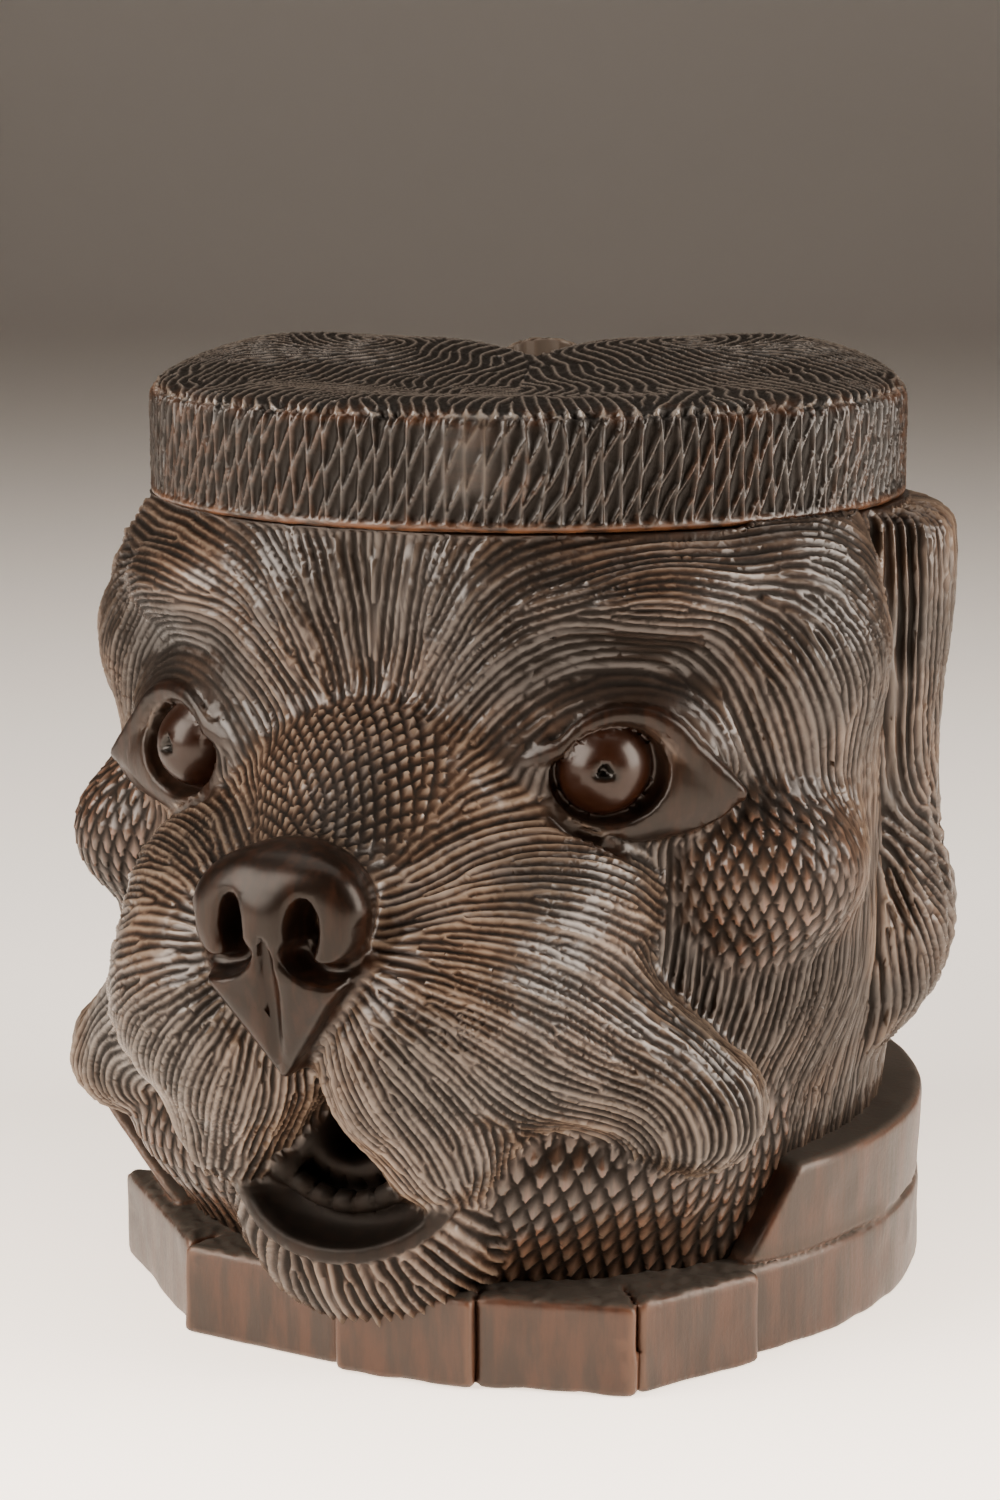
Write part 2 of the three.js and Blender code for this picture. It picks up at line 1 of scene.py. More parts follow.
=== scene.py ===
"""Looks of the carved dog head jar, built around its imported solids."""

import math

import bpy
import numpy as np
from bpy.props import FloatProperty, FloatVectorProperty, IntProperty, PointerProperty
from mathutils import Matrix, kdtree


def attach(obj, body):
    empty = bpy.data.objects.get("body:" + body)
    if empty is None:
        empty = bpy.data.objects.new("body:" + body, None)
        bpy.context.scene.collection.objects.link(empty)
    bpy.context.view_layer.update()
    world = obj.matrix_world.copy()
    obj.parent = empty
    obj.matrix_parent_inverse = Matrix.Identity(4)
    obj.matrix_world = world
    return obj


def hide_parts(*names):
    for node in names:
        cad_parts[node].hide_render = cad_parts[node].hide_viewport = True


bl_info = {
    "name": "Carved dog head jar",
    "version": (1, 0, 0),
    "blender": (4, 5, 0),
    "location": "View3D > Sidebar > Dog jar",
    "description": "Carves the hair, the lid and the collar of a wooden dog head jar",
    "category": "Object",
}

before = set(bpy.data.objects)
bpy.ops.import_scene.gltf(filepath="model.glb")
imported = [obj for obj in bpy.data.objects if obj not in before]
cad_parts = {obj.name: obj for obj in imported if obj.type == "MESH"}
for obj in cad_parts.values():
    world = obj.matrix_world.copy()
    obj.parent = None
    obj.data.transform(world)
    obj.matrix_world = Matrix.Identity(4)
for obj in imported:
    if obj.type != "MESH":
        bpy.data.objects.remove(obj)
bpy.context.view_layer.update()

# Sizes shared with the solids, in millimetres
SEAT_HEIGHT = 207
LID_RADIUS = 98.4
LID_TOP = 236
CHIP_LENGTH = 9.5
LOBE_RISE = 8
LID_GAP = 0.3
LID_SIDE_GAP = 0.6
SPIGOT_RADIUS = 79.4
SPIGOT_DEPTH = 8
CAVITY_RADIUS = 80
CAVITY_FLOOR = 22
COLLAR_RADIUS = 105
COLLAR_BACK_SHIFT = 5
BAND_HEIGHT = 24
LEFT_BAND_END = (56, 9)
RIGHT_BAND_END = (41, 14)
FLARE_ANGLE = -62
FLARE = 14
FACE_ROLL = 1.5
FACE_CENTRE = 120
TUFT_ANGLE = 201.5
EAR_START = 76
EAR_RAMP = 16
EAR_BOTTOM = 62
EAR_INNER_RADIUS = 90
LOCKS_PER_DEGREE = 1 / 6
EYE_RADIUS = 11.3
EYE_CENTRE = (54.2, -80, 150.7)
EYE_ANGLE = 37
EYE_FLARE = 0.2
LIP_POINT_HEIGHT = 84
STOCK_SPARE = 2
TO_METRES = 0.001
PLEATS = (
    (-60, 110, -28, 109),
    (-28, 112, -3, 103),
    (-3, 106.5, 17, 108.5),
    (17, 106, 37.5, 115),
    (37.5, 113, 57, 106),
)


# Form makers: each gives a function of points, below zero inside the wood
def span(x, y, z=0):
    return np.sqrt(x * x + y * y + z * z)


def bell(t, centre, width):
    return np.exp(-(((t - centre) / width) ** 2))


def plateau(t, centre, width):
    return np.exp(-(((t - centre) / width) ** 4))


def smooth_step(low, high, t):
    u = np.clip((t - low) / (high - low), 0, 1)
    return u * u * (3 - 2 * u)


def unit(vectors):
    size = np.linalg.norm(vectors, axis=-1, keepdims=True)
    return vectors / np.maximum(size, 1e-6)


def ellipsoid(centre, radii):
    def form(x, y, z):
        u = (x - centre[0]) / radii[0]
        v = (y - centre[1]) / radii[1]
        w = (z - centre[2]) / radii[2]
        k0 = span(u, v, w)
        k1 = span(u / radii[0], v / radii[1], w / radii[2])
        return k0 * (k0 - 1) / np.maximum(k1, 1e-6)

    return form


def limb(start, end, start_radius, end_radius):
    axis = [b - a for a, b in zip(start, end)]
    squared = sum(a * a for a in axis)

    def form(x, y, z):
        px, py, pz = x - start[0], y - start[1], z - start[2]
        t = np.clip((px * axis[0] + py * axis[1] + pz * axis[2]) / squared, 0, 1)
        gap = span(px - t * axis[0], py - t * axis[1], pz - t * axis[2])
        return gap - start_radius - t * (end_radius - start_radius)

    return form


def chain(*knots):
    links = [limb(a, b, a[3], b[3]) for a, b in zip(knots, knots[1:])]
    return lambda x, y, z: np.minimum.reduce([link(x, y, z) for link in links])


def arc(centre, ring_radius, start_angle, end_angle, thickness, stretch=1):
    low, high = math.radians(start_angle), math.radians(end_angle)

    def form(x, y, z):
        across, above = x - centre[0], z - centre[2]
        angle = np.clip(np.arctan2(above, across), low, high)
        outward = across - ring_radius * np.cos(angle)
        upward = above - ring_radius * np.sin(angle)
        return span(outward, stretch * (y - centre[1]), upward) - thickness

    return form


def either(first, second):
    return lambda x, y, z: np.minimum(first(x, y, z), second(x, y, z))


def turned(angle, form):
    c, s = math.cos(math.radians(angle)), math.sin(math.radians(angle))
    return lambda x, y, z: form(x * c + y * s, y * c - x * s, z)


def eye_place(x, y, z):
    """Coordinates about the eye: across the face, outwards and upwards."""
    c, s = math.cos(math.radians(EYE_ANGLE)), math.sin(math.radians(EYE_ANGLE))
    ex, ey, ez = EYE_CENTRE
    across = (x - ex) * c + (y - ey) * s
    outwards = (x - ex) * s - (y - ey) * c
    return across, outwards - EYE_FLARE * across, z - ez


def at_eye(form):
    return lambda x, y, z: form(*eye_place(x, y, z))


def blend(a, b, reach):
    h = np.maximum(reach - np.abs(a - b), 0) / reach
    return np.minimum(a, b) - h * h * reach / 4


def meet(a, b, reach):
    return -blend(-a, -b, reach)


def carve(a, tool, reach):
    return meet(a, -tool, reach)


SKULL_MASSES = (
    (turned(66, limb((0, -75, 98), (0, -75, 181), 34, 32)), 14),
    (turned(20, ellipsoid((0, -62, 188), (32, 36, 34))), 12),
    (turned(44, ellipsoid((0, -79, 190), (35, 31, 17))), 8),
    (turned(66, ellipsoid((0, -84, 172), (30, 31, 26))), 12),
    (turned(66, ellipsoid((0, -85, 192), (26, 23, 20))), 8),
    (turned(61, ellipsoid((0, -93, 121), (27, 28, 23))), 7),
)
MUZZLE_MASSES = (
    (ellipsoid((28, -93, 98), (37, 46, 38)), 10),
    (ellipsoid((21, -111, 85), (21, 26, 25)), 8),
    (ellipsoid((38, -80, 116), (31, 37, 25)), 8),
    (ellipsoid((27, -105, 67), (18, 20, 21)), 6),
    (limb((44, -92, 92), (79, -73, 68), 24, 16), 10),
    (ellipsoid((74, -72, 64), (18, 18, 13)), 8),
)
FOREHEAD = ellipsoid((0, -116, 174), (24, 18, 28))
MUZZLE_ROOT = ellipsoid((0, -80, 132), (44, 35, 37))
BRIDGE = limb((0, -84, 132), (0, -116, 122), 34, 20)
JAW = ellipsoid((0, -52, 52), (86, 58, 34))
CHIN = ellipsoid((3, -92, 46), (39, 29, 38))
MOUTH_BOWL = ellipsoid((3, -118, 64), (33, 19, 26))
THROAT = limb((1, -130, 66), (2, -94, 61), 8, 6)
GUM_CENTRE = (3, -110, 69)
GUM_RADIUS = 22.5
TOOTH_ANGLE = 15
GUM = arc(GUM_CENTRE, GUM_RADIUS, -155, -25, 2.8)
TONGUE = arc((3, -103, 66), 13.5, -165, -15, 4)
EYE_SOCKET = turned(EYE_ANGLE, ellipsoid((0, -119.5, 156), (27, 18, 23)))
EYEBALL = ellipsoid(EYE_CENTRE, (EYE_RADIUS,) * 3)
EYE_MOUND = at_eye(ellipsoid((4, -2, 0), (27, 9.5, 20)))
EYE_PLATE = at_eye(ellipsoid((9, 3.5, -7), (22, 4.5, 9.5)))
EYE_BOWL = at_eye(ellipsoid((0, 5, -1), (13.4, 9, 12)))
UPPER_LID = at_eye(
    either(arc((3, 5, -4), 17.5, 30, 148, 2.2), limb((18.2, 5, 4.8), (31, 5, -7), 2.2, 1.2))
)
INNER_LID = at_eye(limb((-11.8, 5, 5.3), (-22, 2, 1), 2.2, 0.8))
UPPER_CREASE = at_eye(
    either(arc((4, 6.5, -4), 22, 32, 140, 1.8), limb((22.7, 7, 7.7), (34, 7, -4), 1.8, 0.8))
)
LOWER_CREASE = at_eye(
    either(arc((5, 7.5, 3), 22, -150, -50, 1.6), limb((19.1, 7.5, -13.9), (34, 7, -7), 1.6, 0.8))
)
PUPIL_DEPTH = (8.5, 13)
NOSE_BALL = ellipsoid((0, -133, 124.5), (20, 16, 16.5))
NOSE_WING = arc((9, -139, 124), 8, -55, 120, 5.2)
NOSTRIL = ellipsoid((9, -146, 122.5), (3.8, 12, 7.5))
NOSTRIL_TAIL = arc((14, -144, 121), 9, -150, 10, 2.6, 0.35)
LIP_SLIT = chain((0, -147, 124, 0.8), (0, -144.5, 108, 2.4), (0, -139, 88, 1))
NAPE_TUFT = turned(TUFT_ANGLE, ellipsoid((0, -101, 209), (27, 11, 31)))


def triangle_pit(across, outwards, above):
    """The small three-sided cut that stands for the pupil."""
    u, v = across + 2.4, above - 0.6
    sides = [u * math.cos(a) + v * math.sin(a) for a in (math.radians(-90), math.radians(30), math.radians(150))]
    taper = 0.35 * (PUPIL_DEPTH[1] - outwards)
    return np.maximum(np.maximum.reduce(sides) - 2.2 + taper, PUPIL_DEPTH[0] - outwards)


PUPIL = at_eye(triangle_pit)


def mouth_gap(x, z, bowl):
    slope, top = 0.8, 70
    sides = (np.abs(x - 2) - slope * (top - z)) / math.hypot(1, slope)
    return meet(bowl, sides, 3)


def nose_plate(x, y, z):
    rise = z - LIP_POINT_HEIGHT
    front = -y - 138 - 0.28 * rise
    lean = math.radians(35)
    sides = np.abs(x) * math.cos(lean) - rise * math.sin(lean)
    back = np.maximum(z - LIP_POINT_HEIGHT - 30, y + 126)
    return meet(meet(sides, front, 4), back, 3)


def drum_radius(z):
    return 95 + 6 * smooth_step(40, 95, z) - 5 * smooth_step(150, SEAT_HEIGHT, z)


def ear(x, y, z):
    angle = np.degrees(np.arctan2(np.abs(x), -y))
    across = smooth_step(EAR_START, EAR_START + EAR_RAMP, angle) * (1 - smooth_step(102, 150, angle))
    lower_lobe = 6 * bell(z, 98, 20) - 9 * smooth_step(EAR_BOTTOM + 22, EAR_BOTTOM, z)
    locks = 0.5 * np.cos(2 * math.pi * LOCKS_PER_DEGREE * (angle - EAR_START))
    thick = 19 + 3.5 * bell(z, 190, 28) + lower_lobe + locks
    flap = 0.6 * (span(x, y) - EAR_INNER_RADIUS - thick * across)
    return meet(meet(flap, z - SEAT_HEIGHT, 8), EAR_BOTTOM - z, 8)


def rolled(x, z):
    """Coordinates of the face, which leans a little to one side."""
    c, s = math.cos(math.radians(FACE_ROLL)), math.sin(math.radians(FACE_ROLL))
    return x * c - (z - FACE_CENTRE) * s, FACE_CENTRE - x * s + (z - FACE_CENTRE) * c


def head_steps(x, y, z):
    """The head's form after each carving step, by name."""
    u, w = rolled(x, z)
    side = np.abs(u)
    steps = {}
    form = blend(span(x, y - 2) - drum_radius(z), JAW(u, y, w), 16)
    for mass, reach in SKULL_MASSES:
        form = blend(form, mass(side, y, w), reach)
    form = carve(form, FOREHEAD(u, y, w), 12)
    steps["skull"] = form
    muzzle = blend(MUZZLE_ROOT(u, y, w), BRIDGE(u, y, w), 8)
    for mass, reach in MUZZLE_MASSES:
        muzzle = blend(muzzle, mass(side, y, w), reach)
    steps["muzzle"] = muzzle
    form = blend(form, muzzle, 4)
    form = carve(form, EYE_SOCKET(side, y, w), 6)
    steps["mound"] = EYE_MOUND(side, y, w)
    form = blend(form, steps["mound"], 6)
    steps["face"] = form
    steps["plate"] = EYE_PLATE(side, y, w)
    form = blend(form, steps["plate"], 3)
    form = carve(form, EYE_BOWL(side, y, w), 2)
    form = blend(form, np.minimum(UPPER_LID(side, y, w), INNER_LID(side, y, w)), 3)
    creases = np.minimum(UPPER_CREASE(side, y, w), LOWER_CREASE(side, y, w))
    form = carve(form, creases, 2)
    steps["lids"] = form
    steps["eye"] = EYEBALL(side, y, w)
    form = np.minimum(form, steps["eye"])
    steps["pupil"] = PUPIL(side, y, w)
    form = carve(form, steps["pupil"], 0.5)
    bowl = MOUTH_BOWL(u, y, w)
    steps["bowl"] = bowl
    mouth_parts = np.minimum(TONGUE(u, y, w), GUM(u, y, w))
    lip = blend(carve(CHIN(u, y, w), bowl, 2), mouth_parts, 2)
    steps["lip"] = lip
    form = carve(form, mouth_gap(u, w, bowl), 2)
    form = blend(form, lip, 4)
    form = carve(form, THROAT(u, y, w), 3)
    steps["mouth"] = form
    form = blend(form, NOSE_BALL(u, y, w), 2)
    form = blend(form, nose_plate(u, y, w), 4)
    form = blend(form, NOSE_WING(side, y, w), 5)
    form = carve(form, NOSTRIL(side, y, w), 2)
    form = carve(form, NOSTRIL_TAIL(side, y, w), 2)
    form = carve(form, LIP_SLIT(u, y, w), 1.5)
    steps["nose"] = form
    steps["ear"] = ear(x, y, z)
    form = blend(form, steps["ear"], 2)
    form = np.maximum(np.maximum(form, z - SEAT_HEIGHT - STOCK_SPARE), 12 - z)
    steps["tuft"] = NAPE_TUFT(x, y, z)
    form = blend(form, steps["tuft"], 6)
    steps["all"] = np.maximum(form, np.minimum(z - SEAT_HEIGHT, LID_RADIUS + LID_SIDE_GAP - span(x, y)))
    return steps


def head(x, y, z):
    return head_steps(x, y, z)["all"]


# Meshing: samples a form near its surface and draws one closed mesh round it
def sample_form(form, low, high, cell):
    blocks = np.ceil((np.array(high) - low) / (8 * cell)).astype(int)
    counts = blocks * 8
    low = np.array(low, np.float32)

    def at(cells, size):
        points = (low + (cells + (size - 1) / 2) * cell).astype(np.float32)
        return form(points[:, 0], points[:, 1], points[:, 2]).astype(np.float32)

    cells = np.indices(blocks).reshape(3, -1).T * 8
    first = at(cells, 8)
    values = np.repeat(np.repeat(np.repeat(first.reshape(blocks), 8, 0), 8, 1), 8, 2)
    flat = values.reshape(-1)
    strides = np.array([counts[1] * counts[2], counts[2], 1])
    cells = cells[np.abs(first) < 8 * cell * 1.4]
    for size in (4, 2, 1):
        corner = np.indices((2, 2, 2)).reshape(3, -1).T * size
        cells = (cells[:, None, :] + corner[None]).reshape(-1, 3)
        found = at(cells, size)
        inner = np.indices((size,) * 3).reshape(3, -1).T @ strides
        flat[(cells @ strides)[:, None] + inner[None]] = found[:, None]
        cells = cells[np.abs(found) < size * cell * 1.4]
    return values, low


def surface_net(form, low, high, cell):
    """Points and four-sided faces of a form's surface."""
    values, low = sample_form(form, low, high, cell)
    inside = values < 0
    size = np.array(values.shape) - 1
    count = np.zeros(size, np.int8)
    corners = np.indices((2, 2, 2)).reshape(3, -1).T
    for a, b, c in corners:
        count += inside[a:a + size[0], b:b + size[1], c:c + size[2]]
    mixed = (count > 0) & (count < 8)
    cells = np.argwhere(mixed)
    ids = np.full(size, -1, np.int32)
    ids[mixed] = np.arange(len(cells))
    corner_values = [values[tuple((cells + corner).T)] for corner in corners]
    total = np.zeros((len(cells), 3))
    crossings = np.zeros(len(cells))
    for p, start in enumerate(corners):
        for q, end in enumerate(corners):
            if p >= q or np.abs(end - start).sum() != 1:
                continue
            a, b = corner_values[p], corner_values[q]
            cut = (a < 0) != (b < 0)
            t = np.where(cut, a / np.where(cut, a - b, 1), 0)
            total += cut[:, None] * (start + t[:, None] * (end - start))
            crossings += cut
    points = low + cell * (cells + total / crossings[:, None])
    faces = []
    for axis in range(3):
        along = [slice(1, -1)] * 3
        along[axis] = slice(0, -1)
        beyond = list(along)
        beyond[axis] = slice(1, None)
        start, end = inside[tuple(along)], inside[tuple(beyond)]
        place = np.argwhere(start != end) + [0 if n == axis else 1 for n in range(3)]
        second, third = (axis + 1) % 3, (axis + 2) % 3
        steps = np.zeros((4, 3), int)
        steps[1, second] = steps[2, second] = -1
        steps[2, third] = steps[3, third] = -1
        quads = np.stack([ids[tuple((place + step).T)] for step in steps], 1)
        flip = ~inside[tuple(place.T)]
        quads[flip] = quads[flip][:, ::-1]
        faces.append(quads)
    faces = np.concatenate(faces)
    return points, faces[(faces >= 0).all(1)]


def settle(form, points, reach=0.3):
    """Moves points onto the form's surface and gives their normals."""
    ends = np.array([(1, 1, 1), (1, -1, -1), (-1, 1, -1), (-1, -1, 1)], float)
    for _ in range(2):
        found = [form(*(points + reach * end).T.astype(np.float32)) for end in ends]
        slope = sum(value[:, None] * end for value, end in zip(found, ends)) / (4 * reach)
        middle = sum(found) / 4
        steep = np.maximum((slope * slope).sum(1), 0.2)
        step = np.clip(middle / steep, -0.6, 0.6)
        points = points - slope * step[:, None]
    return points, unit(slope)


def edges_of(quads):
    pairs = np.concatenate([quads[:, [n, (n + 1) % 4]] for n in range(4)])
    pairs = np.sort(pairs, 1)
    keys, back = np.unique(pairs[:, 0].astype(np.int64) * (1 << 32) + pairs[:, 1], return_inverse=True)
    return np.stack([keys >> 32, keys & 0xFFFFFFFF], 1), back.reshape(4, -1).T


class Skin:
    """A surface whose points carry normals and the flow of the carved hair."""

    def __init__(self, form, low, high, cell):
        points, self.quads = surface_net(form, low, high, cell)
        self.points, self.normals = settle(form, points)
        self.edges, self.quad_edges = edges_of(self.quads)
        self.seed = 7

    def combed(self, flow):
        flat = flow - self.normals * (flow * self.normals).sum(1, keepdims=True)
        return unit(flat)

    def _relax(self, phase, edges, turn, weight, rounds):
        i, j = edges.T
        link = weight * np.exp(1j * turn)
        count = len(phase)
        for _ in range(rounds):
            to_j = phase[i] * link
            to_i = phase[j] * np.conj(link)
            real = np.bincount(j, to_j.real, count) + np.bincount(i, to_i.real, count)
            imag = np.bincount(j, to_j.imag, count) + np.bincount(i, to_i.imag, count)
            phase = 0.3 * phase + real + 1j * imag
            phase /= np.maximum(np.abs(phase), 1e-9)
        return phase

    def phases(self, across, pitch, clump=4.0, rounds=(160, 30)):
        """Cuts spaced by pitch along the across direction: wave vectors and aligned phases."""
        self.seed += 1
        random = np.random.default_rng(self.seed)
        waves = across * (2 * math.pi / np.broadcast_to(pitch, len(across)))[:, None]
        i, j = self.edges.T
        alike = np.clip((across[i] * across[j]).sum(1), 0, 1) ** 4
        cells = np.floor(self.points / clump).astype(np.int64) + 4096
        facing = (across * (1, 2, 4) > 0).astype(np.int64) @ (1, 2, 4)
        key = (cells @ (1 << 40, 1 << 26, 1 << 12)) + facing
        _, owner, sizes = np.unique(key, return_inverse=True, return_counts=True)
        owner = owner.reshape(-1)
        groups = len(sizes)

        def mean(values):
            return np.stack([np.bincount(owner, column, groups) for column in values.T], 1) / sizes[:, None]

        middle, wave = mean(self.points), mean(waves)
        ends = owner[self.edges]
        crossing = ends[:, 0] != ends[:, 1]
        ends, alike_ends = ends[crossing], alike[crossing]
        low, high = ends.min(1), ends.max(1)
        pair, which = np.unique(low.astype(np.int64) * groups + high, return_inverse=True)
        weight = np.bincount(which.reshape(-1), alike_ends)
        pair = np.stack([pair // groups, pair % groups], 1)
        turn = ((wave[pair[:, 0]] + wave[pair[:, 1]]) / 2 * (middle[pair[:, 1]] - middle[pair[:, 0]])).sum(1)
        phase = np.exp(2j * math.pi * random.random(groups))
        phase = self._relax(phase, pair, turn, weight, rounds[0])
        fine = phase[owner] * np.exp(1j * (wave[owner] * (self.points - middle[owner])).sum(1))
        turn = ((waves[i] + waves[j]) / 2 * (self.points[j] - self.points[i])).sum(1)
        return waves, self._relax(fine, self.edges, turn, alike, rounds[1])

    def refine(self):
        """Parents of the points of a mesh twice as fine, and its faces."""
        count, edge_count = len(self.points), len(self.edges)
        e = self.quad_edges + count
        middle = np.arange(len(self.quads)) + count + edge_count
        q = self.quads
        parts = [np.stack([q[:, n], e[:, n], middle, e[:, (n + 3) % 4]], 1) for n in range(4)]
        return np.concatenate(parts)

    def spread(self, values):
        """Values at the points of the finer mesh."""
        edge = values[self.edges].mean(1)
        face = values[self.quads].mean(1)
        return np.concatenate([values, edge, face])

    def spread_phase(self, fine_points, waves, phase):
        count, edge_count = len(self.points), len(self.edges)
        out = [phase]
        for parents, start in ((self.edges, count), (self.quads, count + edge_count)):
            here = fine_points[start:start + len(parents)]
            total = 0
            for n in range(parents.shape[1]):
                parent = parents[:, n]
                lean = (waves[parent] * (here - self.points[parent])).sum(1)
                total = total + phase[parent] * np.exp(1j * lean)
            out.append(total)
        return np.angle(np.concatenate(out))


def flow_field(side, y, z, rules):
    """Blends the named strokes of hair, each strongest near its own place."""
    total = np.zeros((len(side), 3))
    for kind, value, place, reach, strength in rules:
        gap = ((side - place[0]) ** 2 + (y - place[1]) ** 2 + (z - place[2]) ** 2) / reach ** 2
        weight = strength * np.exp(-np.minimum(gap, 60)) + 1e-12
        offset = np.stack([side, y, z], 1)
        if kind == "fan":
            stroke = unit(offset - value)
        elif kind == "arc":
            centre, axis = value
            stroke = unit(np.cross(offset - centre, axis))
        else:
            stroke = np.broadcast_to(unit(np.array(value, float)), offset.shape)
        total += weight[:, None] * stroke
    return total


EYE_OUT = (0.6, -0.8, 0.0)
SKULL_STROKES = (
    ("fan", (0, -94, 146), (0, -96, 190), 30, 1.0),
    ("fan", (6, -92, 150), (28, -96, 176), 16, 1.0),
    ("arc", ((50, -80, 146), EYE_OUT), (38, -90, 174), 18, 1.6),
    ("stream", (0.8, 0.5, 0.22), (54, -88, 198), 18, 1.6),
    ("arc", ((52, -72, 148), EYE_OUT), (66, -76, 178), 20, 2.2),
    ("stream", (0.65, 0.75, 0.08), (84, -58, 199), 16, 1.6),
    ("stream", (0.25, 0.8, -0.55), (97, -32, 190), 13, 1.4),
    ("stream", (0.3, 0.5, -1.0), (93, -50, 168), 19, 1.8),
    ("stream", (0.1, 0.15, -1.0), (99, -30, 150), 22, 1.2),
    ("stream", (0.0, 0.0, -1.0), (100, -18, 97), 30, 1.0),
    ("stream", (-0.25, -0.2, -1.0), (90, -44, 66), 24, 1.0),
    ("stream", (0.0, -0.3, -1.0), (60, -84, 45), 30, 1.0),
    ("stream", (0.0, 0.0, -1.0), (70, 70, 110), 90, 0.4),
)
MUZZLE_STROKES = (
    ("fan", (0, -138, 119), (8, -136, 116), 30, 1.6),
    ("stream", (0.2, 0.9, 0.35), (22, -116, 150), 22, 0.8),
    ("stream", (0.7, 0.7, -0.1), (46, -104, 134), 20, 0.9),
    ("stream", (0.8, 0.55, -0.35), (56, -108, 108), 24, 0.9),
    ("stream", (0.7, 0.45, -0.8), (60, -102, 84), 20, 0.8),
    ("stream", (0.35, 0.1, -1.0), (36, -122, 74), 20, 0.9),
    ("arc", ((62, -92, 60), (0.5, -0.85, 0.1)), (80, -88, 74), 18, 1.2),
    ("stream", (0.0, 0.7, 0.5), (0, -112, 152), 20, 1.2),
)
EAR_STROKES = (
    ("stream", (0.0, 0.0, -1.0), (110, -10, 175), 60, 1.0),
    ("stream", (0.0, 0.35, -1.0), (112, 20, 160), 30, 0.8),
    ("fan", (104, -14, 122), (112, 4, 100), 26, 2.0),
)


def head_zones(skin):
    """How far each point belongs to each part of the head, from 0 to 1."""
    x, y, z = skin.points.T.astype(np.float32)
    u, w = rolled(x, z)
    side = np.abs(u)
    s = head_steps(x, y, z)
    zones = {"side": side, "u": u, "y": y, "w": w, "z": z, "sign": np.where(u < 0, -1, 1)}
    zones["seat"] = smooth_step(0.6, 0.1, np.abs(z - SEAT_HEIGHT)) * (span(x, y) < 99)
    zones["muzzle"] = smooth_step(-1.0, 1.5, s["skull"] - s["muzzle"])
    zones["ear"] = smooth_step(-0.8, 0.8, s["nose"] - s["ear"])
    beside_muzzle = s["muzzle"] > 1
    zones["lids"] = np.maximum.reduce([
        smooth_step(0.15, 0.7, np.abs(s["face"] - s["lids"])),
        smooth_step(2.5, 1.0, s["plate"]) * beside_muzzle,
        0.5 * smooth_step(0.8, 0.0, s["mound"]) * beside_muzzle,
    ])
    zones["eye"] = smooth_step(0.7, 0.2, s["eye"]) * (y < -60)
    zones["pupil"] = smooth_step(1.0, 0.2, s["pupil"]) * (s["eye"] < 1)
    zones["nose"] = smooth_step(0.1, 0.9, np.abs(s["mouth"] - s["nose"]))
    in_mouth = smooth_step(74, 70, w) * (y < -85) * smooth_step(0.3, 1.0, s["muzzle"])
    zones["bowl"] = smooth_step(1.6, 0.4, s["bowl"]) * in_mouth
    zones["rim"] = smooth_step(5.2, 4.0, s["bowl"]) * in_mouth
    zones["lip"] = smooth_step(0.3, 1.2, s["face"] - s["lip"]) * (y < -60)
    zones["tuft"] = smooth_step(-0.5, 1.0, s["ear"] - s["tuft"]) * (s["tuft"] < 3)
    bump = span(side - 84, y + 52, w - 121)
    zones["bump"] = smooth_step(29, 20, bump) * (1 - zones["muzzle"])
    bridge = span(side * 0.8, (y + 112) * 0.8, (w - 152) * 0.9)
    zones["bridge"] = smooth_step(27, 16, bridge) * zones["muzzle"] * (1 - zones["nose"])
    # The hollow above the eye and beside the nose, carved shallower; the material paints it darker as painted shade.
    across, _, above = eye_place(side, y, w)
    over_eye = span((across - 3) / 30, (above - 22) / 14)
    beside_nose = span((across + 20) / 10, (above + 1) / 16)
    near_eye = smooth_step(1.25, 0.6, np.minimum(over_eye, beside_nose))
    zones["hollow"] = near_eye * (1 - zones["muzzle"]) * (y < -40)
    under = smooth_step(70, 60, w) * (y < -40) * (1 - zones["muzzle"])
    zones["jaw"] = under * (1 - zones["lip"])
    return zones


def head_flow(skin, zones):
    side, y, w = zones["side"], zones["y"], zones["w"]
    flow = flow_field(side, y, w, SKULL_STROKES)
    flow = unit(flow)
    for name, rules in (("muzzle", MUZZLE_STROKES), ("ear", EAR_STROKES)):
        amount = zones[name][:, None]
        flow = flow * (1 - amount) + unit(flow_field(side, y, w, rules)) * amount
    beard = np.stack([(side - 3) * 1.0, y + 112, w - 62], 1)
    flow = flow * (1 - zones["lip"][:, None]) + unit(beard) * zones["lip"][:, None]
    flow[:, 0] *= zones["sign"]
    return skin.combed(flow)


def ridges(phase, sharp=0.8):
    """Hollow gouge cuts with sharp crests between them, 1 on a crest."""
    return 1 - np.abs(np.cos(phase / 2)) ** sharp


def broad_ridges(phase):
    """Narrow cuts with broad flat crests between them, 1 on a crest."""
    return np.abs(np.sin(phase / 2)) ** 0.6


def chips(across, along):
    """Scales in a lattice of lozenges, each rising to its tip, from 0 to 1."""
    first = ((along + across) / (2 * math.pi)) % 1
    second = ((along - across) / (2 * math.pi)) % 1
    return np.minimum(first, second) ** 0.95


def lozenges(column, run, width, tall):
    """Tall chips between upright crests, each split by a slanting crest, 1 on a crest."""
    place = column % 1
    upright = np.minimum(place, 1 - place) * width
    slanting = np.abs(place - run) * width * tall / math.hypot(width, tall)
    return 1 - np.clip(np.minimum(upright, slanting) / 1.15, 0, 1) ** 0.75


